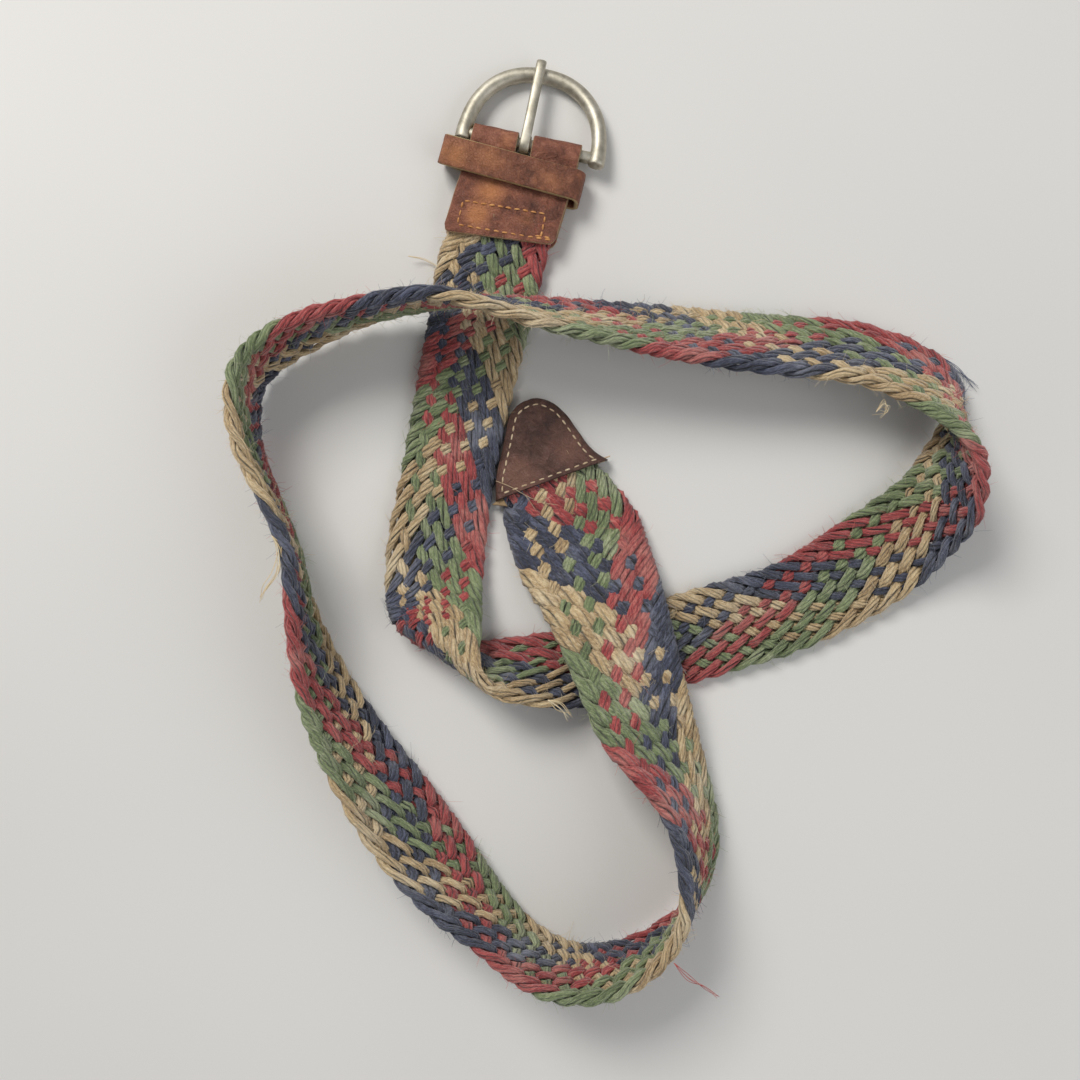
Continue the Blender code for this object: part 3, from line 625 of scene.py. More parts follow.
class Tubes:
    """Gathers many closed tubes into one mesh."""

    def __init__(self, sides):
        self.sides = sides
        self.points, self.faces, self.count = [], [], 0
        self.layers = {}

    def add(self, middle, side, up, wide, high, square=1.0, **layers):
        """One tube round a middle line.

        side and up: unit ways across it. wide and high: its half sizes in mm. square: under 1 is boxier.
        """
        turn = 2 * np.pi * np.arange(self.sides) / self.sides
        wide = np.broadcast_to(wide, len(middle))
        high = np.broadcast_to(high, len(middle))
        out_side, out_up = (np.sign(f(turn)) * np.abs(f(turn)) ** square for f in (np.cos, np.sin))
        ring = side[:, None] * (wide[:, None] * out_side)[..., None]
        ring = ring + up[:, None] * (high[:, None] * out_up)[..., None]
        points = middle[:, None] + ring
        self.faces += tube_faces(len(middle), self.sides, self.count)
        self.points.append(points.reshape(-1, 3))
        self.count += len(middle) * self.sides
        twist = np.asarray(layers.pop("twist", 0.0)) * np.ones(len(middle))
        layers["round_a"] = np.cos(turn + twist[:, None])
        layers["round_b"] = np.sin(turn + twist[:, None])
        for key, values in layers.items():
            values = np.asarray(values, dtype=float)
            if values.ndim < 2:
                values = np.broadcast_to(values, len(middle))[:, None]
                values = np.broadcast_to(values, (len(middle), self.sides))
            self.layers.setdefault(key, []).append(values.reshape(-1))

    def build(self, name):
        layers = {key: np.concatenate(parts) for key, parts in self.layers.items()}
        return add_mesh(name, np.concatenate(self.points), self.faces, layers)


# Strands

def ease(x):
    """From 0 to 1 with a soft start and end."""
    x = np.clip(x, 0.0, 1.0)
    return x * x * (3 - 2 * x)


def column_heights():
    """Which way a strand lies at each of its 32 places in a turn: 1 above the other strand, -1 below it."""
    heights = np.zeros(STRAND_PLACES)
    for k in range(1, STRANDS):
        above = 1.0 if k in OVER_IN_COLUMN else -1.0
        heights[k] = above
        heights[STRAND_PLACES - k] = -above
    return heights


HEIGHTS = column_heights()


def strand_height(place):
    """Height share at each place of a turn, smooth between the crossings and through the edge turns."""
    low = np.floor(place).astype(int)
    part = place - low
    a = HEIGHTS[low % STRAND_PLACES]
    b = HEIGHTS[(low + 1) % STRAND_PLACES]
    middle = 0.5 + CROSSING_BIAS * (a - b) / 2
    height = a + (b - a) * ease((part - middle) * CROSSING_STEEPNESS + 0.5)
    for edge in (0, STRANDS):
        near = np.mod(place - edge + STRANDS, STRAND_PLACES) - STRANDS
        height = np.where(np.abs(near) < 1, 2 * ease((near + 1) / 2) - 1, height)
    return height


def turn_places(u):
    """Left and right edge places at each turn, smooth between the table's rows."""
    rows = np.array(TURN_PLACES, dtype=float)
    spot = np.clip((u - FIRST_TURN) * ROWS_PER_TURN, 0, len(rows) - 1.001)
    low = spot.astype(int)
    part = (spot - low)[:, None]
    slopes = np.gradient(rows, axis=0)
    a, b = rows[low], rows[low + 1]
    ma, mb = slopes[low], slopes[low + 1]
    p2, p3 = part ** 2, part ** 3
    found = a * (2 * p3 - 3 * p2 + 1) + ma * (p3 - 2 * p2 + part) + b * (3 * p2 - 2 * p3) + mb * (p3 - p2)
    return found[:, 0], found[:, 1]


def strand_line(number):
    """One strand's middle line from tab to tip, its ways sideways and outward, its half width and thickness.

    The last thing that it gives is the way out of the band on the strand's bare side.
    """
    u = np.arange(STRAND_STEPS * (len(TURN_PLACES) - 1) // ROWS_PER_TURN + 1) / STRAND_STEPS + FIRST_TURN
    t = (number + 0.5) / STRANDS - u
    place = np.mod(STRAND_PLACES * t, STRAND_PLACES)
    v = np.arcsin(CORNER_SHARPNESS * np.cos(2 * np.pi * t)) / math.asin(CORNER_SHARPNESS)
    s_left, s_right = turn_places(u)
    s = s_right + (s_left - s_right) * (v + 1) / 2
    keep = (s > END_ROOM) & (s < BAND.total - END_ROOM)
    u, t, place, v, s = u[keep], t[keep], place[keep], v[keep], s[keep]
    half = BAND.at(s, v)[3]
    inset = STRAND_THICK / 2 * BAND.thick(s) / BAND_THICK
    flat, across, up, half = BAND.at(s, v * (half - inset) / half)
    height = strand_height(place)
    thick = STRAND_THICK * BAND.thick(s) / BAND_THICK
    middle = flat + up * (height * (BAND.thick(s) - thick) / 2)[:, None]
    ahead = unit(np.gradient(middle, axis=0))
    turn = np.floor((STRAND_PLACES * t + STRANDS / 2) / STRANDS).astype(int)
    near = np.clip(STRAND_PLACES * t - turn * STRANDS, -EDGE_ROLL, EDGE_ROLL) / EDGE_ROLL
    roll = np.pi * (1 - ease((near + 1) / 2))
    outer = across * np.where(turn % 2 == 0, 1.0, -1.0)[:, None]
    face = up * np.cos(roll)[:, None] + outer * np.sin(roll)[:, None]
    face = face * np.where(turn % 2 == 0, 1.0, -1.0)[:, None]
    side = unit(np.cross(face, ahead))
    face = np.cross(ahead, side)
    ahead_places, behind_places = (sum(turn_places(u + d)) / 2 for d in (PITCH_REACH, -PITCH_REACH))
    pitch = (ahead_places - behind_places) / (2 * PITCH_REACH) / STRANDS
    flow = unit(np.cross(across, up))
    level = unit(ahead - up * np.sum(ahead * up, axis=1)[:, None])
    slope = np.linalg.norm(np.cross(level, flow), axis=1)
    wide = np.clip(STRAND_FULLNESS * pitch * slope, *STRAND_WIDTHS) * half * 2 / BAND_WIDTH
    thick = thick * np.sqrt(STRAND_WIDTH / wide) * (1 + STRAND_SWELL * height)
    wide = wide * (1 + STRAND_SWELL * height)
    bare = unit(up * height[:, None] + outer * np.sin(roll)[:, None] * 2.0)
    return middle, side, face, wide / 2, thick / 2, bare


def smooth_noise(count, much, every, rng):
    """Gentle random numbers along a line, from -much to much."""
    knots = rng.uniform(-1, 1, max(count // every + 3, 4))
    spots = np.arange(count) / every
    low = spots.astype(int)
    part = ease(spots - low)
    return much * (knots[low] * (1 - part) + knots[low + 1] * part)


def strands():
    """Every strand as twisted yarns, joined into one mesh for each colour."""
    rng = np.random.default_rng(STRAND_SEED)
    made = {colour: Tubes(YARN_SIDES) for colour in STRAND_COLOURS}
    lines = {colour: [] for colour in STRAND_COLOURS}
    around = 2 * np.pi * np.arange(YARN_SIDES) / YARN_SIDES
    for number in range(STRANDS):
        colour = STRAND_COLOURS[number * len(STRAND_COLOURS) // STRANDS]
        middle, side, face, wide, thick, bare = strand_line(number)
        lines[colour].append((middle, side, wide, thick, bare))
        travelled = travel(middle)
        tone = rng.uniform(-1, 1)
        start = rng.uniform(0, 2 * np.pi)
        for yarn in range(YARNS):
            angle = start + 2 * np.pi * (yarn / YARNS + travelled / TWIST_LENGTH)
            angle = angle + smooth_noise(len(middle), *YARN_WANDER, rng)
            swell = 1 + smooth_noise(len(middle), *YARN_SWELL, rng)
            out_side = np.cos(angle) * (1 - YARN_WIDE)
            out_face = np.sin(angle) * (1 - YARN_HIGH)
            spot = middle + side * (out_side * wide)[:, None] + face * (out_face * thick)[:, None]
            shade = STRAND_SHADE * tone + YARN_SHADE * rng.uniform(-1, 1)
            shade = shade + smooth_noise(len(middle), *SHADE_DRIFT, rng)
            # How far out from its strand's middle each side of the yarn lies; the yarn finish darkens the
            # deep sides between the yarns as painted shade
            across = out_side[:, None] + YARN_WIDE * np.cos(around)
            outer = np.hypot(across, out_face[:, None] + YARN_HIGH * np.sin(around))
            made[colour].add(
                spot, side, face, wide * YARN_WIDE * swell, thick * YARN_HIGH * swell,
                along=travelled + YARN_SHIFT * yarn + STRAND_SHIFT * number, shade=shade, outer=outer,
                twist=2 * np.pi * travelled / FIBRE_TWIST,
            )
    return {colour: made[colour].build(f"{colour}_strands") for colour in STRAND_COLOURS}, lines


# Leather

def outward(thing):
    """Turns every face of a closed piece outward."""
    work = bmesh.new()
    work.from_mesh(thing.data)
    bmesh.ops.recalc_face_normals(work, faces=work.faces)
    work.to_mesh(thing.data)
    work.free()
    return thing


def lumps(points, size, seed):
    """Soft noise from -1 to 1 at each point, in lumps of about size mm."""
    shift = Vector(LUMP_SHIFT) * seed
    found = [noise.noise(Vector(p) / size + shift) for p in points.reshape(-1, 3)]
    return np.array(found).reshape(points.shape[:-1])


def relief(points, height, size, seed):
    """Height in mm of soft lumps at each point."""
    return height * lumps(points, size, seed)


def creases(along, across, rows):
    """Depth in mm of pressed-in lines. rows: from place, to place, half width, depth."""
    depth = np.zeros(np.broadcast(along, across).shape)
    for a0, c0, a1, c1, width, deep in rows:
        run = np.array((a1 - a0, c1 - c0))
        share = ((along - a0) * run[0] + (across - c0) * run[1]) / (run @ run)
        share = np.clip(share, 0.0, 1.0)
        off = np.hypot(along - a0 - share * run[0], across - c0 - share * run[1]) / width
        depth = depth + deep * (np.exp(-off ** 2) - SHOULDER * np.exp(-(off / SHOULDER_WIDTH) ** 2))
    return depth


def rubbed_spots(along, across, rows):
    """How far the leather is rubbed pale. rows: place along, place across, size, strength."""
    found = 0.0
    for spot, beside, size, much in rows:
        found = found + much * np.exp(-((along - spot) ** 2 + (across - beside) ** 2) / size ** 2)
    return found


def border_walk(r0, r1, c0, c1):
    """Grid places once round a rectangle of the grid."""
    walk = [(r0, j) for j in range(c0, c1)]
    walk += [(i, c1) for i in range(r0, r1)]
    walk += [(r1, j) for j in range(c1, c0, -1)]
    walk += [(i, c0) for i in range(r1, r0, -1)]
    return np.array(walk)


def leather_sheet(name, top, low, hole=None, worn=None):
    """A closed sheet between two grids of points, with rounded cut edges.

    hole: the four grid lines round a cut-out. worn: how far its upper face is rubbed pale.
    """
    rows, columns = top.shape[:2]
    middle = (top + low) / 2
    top, low = top.copy(), low.copy()
    cells = np.ones((rows - 1, columns - 1), dtype=bool)
    spans = [((0, rows - 1, 0, columns - 1), 1)]
    if hole:
        cells[hole[0] : hole[1], hole[2] : hole[3]] = False
        spans.append((hole, -1))
    spot = np.arange(rows * columns).reshape(rows, columns)
    quads = np.stack([spot[:-1, :-1], spot[:-1, 1:], spot[1:, 1:], spot[1:, :-1]], axis=-1)[cells]
    count = rows * columns
    faces = [quads, quads[:, ::-1] + count]
    rims, edge = [], np.zeros(2 * count)
    start = 2 * count
    for (r0, r1, c0, c1), inward in spans:
        i, j = border_walk(r0, r1, c0, c1).T
        step_i = inward * ((i == r0) * 1 - (i == r1) * 1)
        step_j = inward * ((j == c0) * 1 - (j == c1) * 1)
        out = unit(middle[i, j] - middle[i + step_i, j + step_j])
        edge_top, edge_low = top[i, j], low[i, j]
        loops = [i * columns + j]
        for share in RIM_PLACES:
            back = RIM_ROUND * (1 - math.sqrt(1 - (2 * share - 1) ** 2))
            rims.append(edge_top + (edge_low - edge_top) * share - out * back)
            loops.append(start + np.arange(len(i)))
            start += len(i)
        loops.append(count + loops[0])
        top[i, j] = edge_top - out * RIM_ROUND
        low[i, j] = edge_low - out * RIM_ROUND
        edge[loops[0]] = edge[loops[-1]] = EDGE_SHADE
        for a, b in zip(loops, loops[1:]):
            faces.append(np.stack([a, b, np.roll(b, -1), np.roll(a, -1)], axis=-1))
    points = np.concatenate([top.reshape(-1, 3), low.reshape(-1, 3), *rims])
    edge = np.concatenate([edge, np.ones(len(points) - 2 * count)])
    rubbed = np.zeros(len(points))
    if worn is not None:
        rubbed[:count] = worn.reshape(-1)
    faces = np.concatenate(faces)
    used, places = np.unique(faces, return_inverse=True)
    layers = {"edge": edge[used], "rubbed": rubbed[used]}
    return outward(add_mesh(name, points[used], places.reshape(-1, 4), layers))


def evened(line, rounds):
    """A line of points with its corners softened."""
    line = np.array(line, dtype=float)
    for _ in range(rounds):
        line[1:-1] = (line[:-2] + 2 * line[1:-1] + line[2:]) / 4
    return line


def tab_path():
    """The folded tab seen from its side: inner and outer line, distance back and height."""
    backs = np.linspace(TAB_LENGTH, TAB_SIDE[0][0] * TAB_LENGTH, TAB_ROWS)
    sides = {1: [], -1: []}
    for level in sides:
        for back in backs:
            half_gap, middle = tab_layers(back)
            inner = middle + level * half_gap
            sides[level].append(((back, inner), (back, inner + level * LEATHER)))
    bend = []
    for k in range(TAB_BEND_STEPS + 1):
        angle = math.pi / 2 + math.pi * k / TAB_BEND_STEPS
        c, s = math.cos(angle), math.sin(angle)
        near, far = BAR_ROOM, BAR_ROOM + LEATHER
        bend.append(((c * near, BAR_HEIGHT + s * near), (c * far, BAR_HEIGHT + s * far)))
    pairs = sides[1] + bend + sides[-1][::-1]
    inner, outer = zip(*pairs)
    return evened(inner, 3), evened(outer, 3)


def tab_columns(back):
    """Places across the tab, in mm, with two of them on the slot's sides."""
    left, right = (share * TAB_WIDTH for share in read_rows(TAB_SIDES, max(back, 0.0) / TAB_LENGTH))
    slot_left = PRONG_PLACE - SLOT_WIDTH / 2
    slot_right = PRONG_PLACE + SLOT_WIDTH / 2
    parts = [(left, slot_left), (slot_left, slot_right), (slot_right, right)]
    spread = [np.linspace(a, b, n, endpoint=False) for (a, b), n in zip(parts, TAB_COLUMNS)]
    return np.concatenate(spread + [[right]]), left, right


def detailed_tab():
    """Creased leather folded round the bar, open at the prong, with rounded corners at its end."""
    inner, outer = tab_path()
    grids = []
    for line in (outer, inner):
        grid = []
        for back, height in line:
            columns, left, right = tab_columns(back)
            row = []
            for across in columns:
                near = min(across - left, right - across)
                corner = TAB_CORNER - math.sqrt(TAB_CORNER ** 2 - max(TAB_CORNER - near, 0.0) ** 2)
                end = min(max((back - TAB_LENGTH) / (2 * TAB_CORNER) + 1, 0.0), 1.0)
                row.append(tab_point(back - corner * end, (across - left) / (right - left), height))
            grid.append(row)
        grids.append(np.array(grid))
    top, low = grids
    back = np.array([p[0] for p in outer])[:, None] + np.zeros(top.shape[:2])
    across = np.array([tab_columns(p[0])[0] for p in outer])
    upper = (np.arange(len(outer)) < TAB_ROWS + TAB_BEND_STEPS // 2)[:, None]
    fold = np.exp(-(back / TAB_FOLD_REACH) ** 2)
    lift = relief(top, *TAB_LUMPS) + relief(top, *TAB_GRAIN) + fold * relief(top, *TAB_FOLD_LUMPS)
    lift = lift - creases(back, across, TAB_CREASES) * upper
    top = top + unit(top - low) * lift[..., None]
    worn = rubbed_spots(back, across, TAB_WORN)
    first = int(np.argmin(np.abs(back[:TAB_ROWS, 0] - SLOT_BACK)))
    hole = (first, len(outer) - 1 - first, TAB_COLUMNS[0], TAB_COLUMNS[0] + TAB_COLUMNS[1])
    return leather_sheet("folded_tab", top, low, hole, worn * upper)


def detailed_keeper():
    """A flat leather loop with rounded corners, its lower run askew under it."""
    centre, along, front = bar_frame()
    turn = math.radians(KEEPER_TURN_DEG)
    way = along * math.cos(turn) + front * math.sin(turn)
    side = front * math.cos(turn) - along * math.sin(turn)
    middle = centre + along * KEEPER_PLACE - front * KEEPER_BACK
    ahead_of_it = KEEPER_BACK - KEEPER_WIDTH / 2 - KEEPER_AHEAD
    height = 2 * (KEEPER_THICK + GAP + LEATHER + tab_layers(ahead_of_it)[0])
    flat, rise = KEEPER_LENGTH / 2 - KEEPER_BEND, height / 2 - KEEPER_BEND
    loop = []
    for first, (c, s), (run_out, run_up), steps in (
        (-90, (1, -1), (0, 2 * rise), KEEPER_END_STEPS), (0, (1, 1), (-2 * flat, 0), KEEPER_RUN_STEPS),
        (90, (-1, 1), (0, -2 * rise), KEEPER_END_STEPS), (180, (-1, -1), (2 * flat, 0), KEEPER_RUN_STEPS),
    ):
        for k in range(KEEPER_BEND_STEPS + 1):
            angle = math.radians(first + 90 * k / KEEPER_BEND_STEPS)
            loop.append((c * flat, s * rise, math.cos(angle), math.sin(angle)))
        for k in range(1, steps):
            angle = math.radians(first + 90)
            spot = (c * flat + run_out * k / steps, s * rise + run_up * k / steps)
            loop.append((*spot, math.cos(angle), math.sin(angle)))
    places = [-1 + 2 * k / KEEPER_COLUMNS for k in range(KEEPER_COLUMNS + 1)]
    room = KEEPER_WIDTH / 2 - RIM_ROUND
    section = [(p * room, 0.0, 0.0) for p in places]
    section += [(room + RIM_ROUND * math.sin(math.pi * t), t, 1.0) for t in RIM_PLACES]
    section += [(-p * room, 1.0, 0.0) for p in places]
    section += [(-room - RIM_ROUND * math.sin(math.pi * t), 1 - t, 1.0) for t in RIM_PLACES]
    rings, ways = [], []
    for out, up, c, s in loop:
        ring = []
        for wide, deep, _ in section:
            radius = KEEPER_BEND - deep * KEEPER_THICK
            place, level = out + radius * c, height / 2 + up + radius * s
            askew = float(np.interp(place, *KEEPER_ASKEW)) * (1 - level / height)
            ring.append(middle + way * place + side * (wide - askew) + Vector((0, 0, level)))
        rings.append(ring)
        ways.append(way * c + Vector((0, 0, s)))
    points = np.array(rings)
    outer = np.array([1.0 - deep for _, deep, _ in section])
    lift = relief(points, *KEEPER_LUMPS) + relief(points * KEEPER_GRAIN_STRETCH, *KEEPER_GRAIN)
    place = np.array([p[0] for p in loop])[:, None]
    level = (np.array([p[3] for p in loop]) > 0.5)[:, None]
    wide = np.array([p[0] for p in section])
    lift = lift - creases(place, wide, KEEPER_CREASES) * level
    points = points + np.array(ways)[:, None] * (lift * outer)[..., None]
    count, size = points.shape[:2]
    spot = np.arange(count * size).reshape(count, size)
    ahead, beside = np.roll(spot, -1, axis=0), np.roll(spot, -1, axis=1)
    faces = np.stack([spot, beside, np.roll(ahead, -1, axis=1), ahead], axis=-1).reshape(-1, 4)
    edge = np.broadcast_to([p[2] for p in section], (count, size)).reshape(-1)
    # Pale spots on the upper run: wear, and at the left end and the middle also a painted highlight
    worn = rubbed_spots(place, wide, KEEPER_WEAR_AND_HIGHLIGHT) * level * np.ones((count, size))
    layers = {"edge": edge, "rubbed": worn.reshape(-1)}
    return outward(add_mesh("worn_keeper", points.reshape(-1, 3), faces, layers))


def tip_curve():
    """The tip's outline in mm, a smooth line from its left base corner round to its right one."""
    rows = [(left * TIP_WIDTH, reach * TIP_LENGTH) for reach, left, _ in TIP_OUTLINE]
    rows += [(right * TIP_WIDTH, reach * TIP_LENGTH) for reach, _, right in TIP_OUTLINE[::-1]]
    return smooth_line(rows, TIP_CURVE_STEPS)


TIP_CURVE = tip_curve()


def tip_rows():
    """Distance from the base and left and right side, row by row, closer together towards the round end."""
    summit = int(np.argmax(TIP_CURVE[:, 1]))
    end = TIP_CURVE[summit, 1]
    reach = end * (1 - (1 - np.linspace(0, TIP_LAST_ROW, TIP_ROWS)) ** TIP_ROW_CROWDING)
    left = np.interp(reach, TIP_CURVE[: summit + 1, 1], TIP_CURVE[: summit + 1, 0])
    right = np.interp(reach, TIP_CURVE[summit:, 1][::-1], TIP_CURVE[summit:, 0][::-1])
    return reach, left, right


def from_tip_edge(x, y):
    """Distance in mm from the tip's rounded side."""
    apart = np.hypot(x[..., None] - TIP_CURVE[:, 0], y[..., None] - TIP_CURVE[:, 1])
    return apart.min(axis=-1)


def tip_rise(x, y):
    """How far the upper layer stands over the lower one at a place in mm."""
    raised = BAND_THICK_IN_TIP + GAP
    near = np.minimum(from_tip_edge(x, y) / TIP_SLOPE, 1.0)
    return raised * np.sqrt(np.maximum(0.0, 1 - (1 - near) ** 2))


def tip_points(x, y, height):
    """Points of the tip's grid from their places in mm across it and out from its base."""
    places = zip(x.ravel(), y.ravel(), height.ravel())
    spots = [tip_spot(out / TIP_LENGTH, across / TIP_WIDTH, z) for across, out, z in places]
    return np.array(spots).reshape(*x.shape, 3)


def tip_top(x, y):
    """Height of the upper layer's face, pressed in along its stitches."""
    groove = RIM_GROOVE * np.exp(-((from_tip_edge(x, y) - TIP_STITCH_ROOM) / GROOVE_WIDTH) ** 2)
    groove = groove + BASE_GROOVE * np.exp(-((y - TIP_BASE_ROOM) / GROOVE_WIDTH) ** 2)
    return TIP_RIM + tip_rise(x, y) + LEATHER - groove


def detailed_tip():
    """The tip's two layers, the upper one pillowed over the band's end."""
    reach, left, right = tip_rows()
    share = (1 - np.cos(np.linspace(0, np.pi, TIP_COLUMNS))) / 2
    x = left[:, None] + (right - left)[:, None] * share
    y = reach[:, None] + 0.0 * x
    top = tip_points(x, y, tip_top(x, y))
    low = tip_points(x, y, TIP_RIM + tip_rise(x, y))
    top[..., 2] += relief(top, *TIP_LUMPS) + relief(top, *TIP_GRAIN) - creases(y, x, TIP_CREASES)
    upper = leather_sheet("grained_tip_front", top, low, worn=rubbed_spots(y, x, TIP_WORN))
    flat = np.zeros_like(x)
    under = leather_sheet(
        "grained_tip_back", tip_points(x, y, flat + FLOOR_GAP + LEATHER), tip_points(x, y, flat + FLOOR_GAP),
    )
    return upper, under


# Thread

def stitches(made, line, up, pitch, length, thick, rng):
    """Single stitches along a line of points on a surface. up: the way out of it at each point."""
    travelled = travel(line)
    count = max(int(round(travelled[-1] / pitch)), 1)
    t = np.linspace(0, 1, STITCH_RINGS)
    arch = np.sin(np.pi * t) ** STITCH_ROUNDNESS
    for k in range(count):
        start = (k + 0.5) * travelled[-1] / count - length / 2
        start = start + rng.uniform(-STITCH_STRAY, STITCH_STRAY)
        spots = start + t * length
        points = np.stack([np.interp(spots, travelled, line[:, axis]) for axis in range(3)], axis=-1)
        normal = unit(np.stack([np.interp(spots, travelled, up[:, axis]) for axis in range(3)], axis=-1))
        ahead = unit(np.gradient(points, axis=0))
        side = unit(np.cross(normal, ahead))
        middle = points + normal * (arch * STITCH_RISE * thick - STITCH_SINK * (1 - arch))[:, None]
        middle = middle + side * (rng.uniform(-STITCH_SKEW, STITCH_SKEW) * (2 * t - 1))[:, None]
        size = thick * (STITCH_END + (1 - STITCH_END) * arch) * rng.uniform(*STITCH_SIZES)
        made.add(
            middle, side, normal, size, size * STITCH_FLATNESS,
            along=spots, shade=rng.uniform(-1, 1), twist=spots * THREAD_TWIST,
        )


def tab_face(back, place):
    """A point on the tab's upper face."""
    half_gap, middle = tab_layers(back)
    return tab_point(back, place, middle + half_gap + LEATHER)


def tab_run(a, b):
    """Points on the tab's upper face from a to b, each a distance back and a place across."""
    shares = np.linspace(0, 1, TAB_RUN_POINTS)
    return np.array([tab_face(a[0] + (b[0] - a[0]) * t, a[1] + (b[1] - a[1]) * t) for t in shares])


def tab_thread():
    """Ochre stitches: a box that holds the band, sewn over twice at its lower right corner."""
    rng = np.random.default_rng(TAB_THREAD_SEED)
    made = Tubes(STITCH_SIDES)
    up = np.broadcast_to((0.0, 0.0, 1.0), (TAB_RUN_POINTS, 3))
    for a, b in TAB_STITCHES:
        stitches(made, tab_run(a, b), up, TAB_PITCH, TAB_STITCH, THREAD, rng)
        under = tab_run(a, b) * (1.0, 1.0, 0.0) + (0.0, 0.0, UNDER_STITCHES)
        stitches(made, under, -up, TAB_PITCH, TAB_STITCH, THREAD, rng)
    return made.build("tab_stitches")


def inset_curve(line, room):
    """A line moved to its right by room."""
    way = unit(np.gradient(line, axis=0))
    return line + np.stack([way[:, 1], -way[:, 0]], axis=-1) * room


def tip_thread():
    """Cream stitches just inside the tip's edge and along its base, on both faces."""
    rng = np.random.default_rng(TIP_THREAD_SEED)
    made = Tubes(STITCH_SIDES)
    inside = inset_curve(TIP_CURVE, TIP_STITCH_ROOM)
    inside = inside[(inside[:, 1] > TIP_BASE_ROOM) & (np.abs(inside[:, 0]) < TIP_WIDTH / 2)]
    ends = (inside[0, 0], TIP_BASE_ROOM), (inside[-1, 0] + TIP_BASE_REACH, TIP_BASE_ROOM)
    base = np.linspace(*ends, TIP_BASE_POINTS)
    for line in (inside, base):
        x, y = line.T
        height = tip_top(x, y)
        top = tip_points(x, y, height)
        up = np.broadcast_to((0.0, 0.0, 1.0), top.shape)
        stitches(made, top, up, TIP_PITCH, TIP_STITCH, TIP_THREAD, rng)
        low = tip_points(x, y, np.full_like(x, UNDER_STITCHES))
        stitches(made, low, -up, TIP_PITCH, TIP_STITCH, TIP_THREAD, rng)
    return made.build("tip_stitches")


def photo_spot(across, down, height):
    """A place in mm given by its pixel in the photograph and its height."""
    reach = PIXEL * (1 - height / VIEW_HEIGHT)
    return np.array(CENTRE_SHIFT) + ((across - HALF_PHOTO) * reach, (HALF_PHOTO - down) * reach, height)


def edge_height(across, down):
    """Height of the band's upper edge that shows nearest to a pixel of the photograph."""
    edges = np.concatenate([BAND.left, BAND.right])
    flat = edges - np.array(CENTRE_SHIFT)
    reach = PIXEL * (1 - flat[:, 2] / VIEW_HEIGHT)
    apart = np.hypot(HALF_PHOTO + flat[:, 0] / reach - across, HALF_PHOTO - flat[:, 1] / reach - down)
    near = np.argsort(apart)[:NEAR_EDGE_POINTS]
    return float(edges[near, 2].max())


def add_hair(made, line, thick, shade):
    """One loose hair along a line of points, thinning towards its end."""
    line[:, 2] = np.maximum(line[:, 2], FLOOR_GAP + thick)
    ahead = unit(np.gradient(line, axis=0))
    side = unit(np.cross(ahead, HAIR_REFERENCE))
    size = thick * np.linspace(1.0, HAIR_END, len(line))
    made.add(line, side, np.cross(ahead, side), size, size, along=travel(line), shade=shade)


def loose_hairs(made, lines, count, rng):
    """Short hairs that stand off the bare side of the strands."""
    t = np.linspace(0, 1, HAIR_POINTS)[:, None]
    for _ in range(count):
        middle, side, wide, thick, bare = lines[rng.integers(len(lines))]
        k = rng.integers(1, len(middle) - 1)
        ahead = unit(middle[k + 1] - middle[k - 1])
        beside = side[k] * wide[k] * rng.uniform(-HAIR_ROOT, HAIR_ROOT)
        root = middle[k] + bare[k] * thick[k] * HAIR_ROOT + beside
        way = bare[k] * rng.uniform(*HAIR_LIFT) + side[k] * rng.normal(0, HAIR_LEAN)
        way = way + ahead * rng.normal(0, 1.0)
        length = HAIR_LENGTH * rng.uniform(*HAIR_LENGTHS)
        bend = rng.normal(0, HAIR_BEND, 3)
        line = root + (unit(way) * t + bend * t ** 2 * 0.5) * length
        add_hair(made, line, HAIR_THICK * rng.uniform(*HAIR_THICKNESSES), rng.uniform(-1, 1))


def strays(made, colour, rng):
    """The longer loose ends that the photograph shows."""
    for stray_colour, thick, many, spread, spots in STRAYS:
        if stray_colour != colour:
            continue
        height = edge_height(*spots[0])
        for _ in range(many):
            line = []
            for k, (across, down) in enumerate(spots):
                drift = rng.normal(0, spread, 3) * min(k, 1)
                line.append(photo_spot(across, down, max(height - STRAY_SAG * k, STRAY_LOWEST)) + drift)
            add_hair(made, smooth_line(line), thick, rng.uniform(-1, 1))


def fibres(lines):
    """Loose hairs and strays, one mesh for each colour of strand."""
    rng = np.random.default_rng(HAIR_SEED)
    made = {}
    for colour in STRAND_COLOURS:
        made[colour] = Tubes(HAIR_SIDES)
        loose_hairs(made[colour], lines[colour], HAIRS, rng)
        strays(made[colour], colour, rng)
    return {colour: made[colour].build(f"{colour}_hairs") for colour in STRAND_COLOURS}


def tip_threads():
    """A pale thread over the tip's lower left corner and the frayed tail at its right one."""
    made = Tubes(TIP_THREAD_SIDES)
    for thick, spots in TIP_THREADS:
        add_hair(made, smooth_line([photo_spot(*spot) for spot in spots]), thick, 0.0)
    return made.build("loose_tip_threads")


def folded_corner():
    """The lower layer's corner, folded out past the tip's base."""
    fold, *corners = [photo_spot(*corner) for corner in FOLDED_CORNER]
    rows = []
    for i in range(CORNER_CELLS + 1):
        share = CORNER_BLUNT + (1 - CORNER_BLUNT) * i / CORNER_CELLS
        start, end = (fold + (corner - fold) * share for corner in corners)
        rows.append([start + (end - start) * j / CORNER_CELLS for j in range(CORNER_CELLS + 1)])
    low = np.array(rows)
    return leather_sheet("folded_tip_corner", low + (0.0, 0.0, CORNER_THICK), low)


# Metal

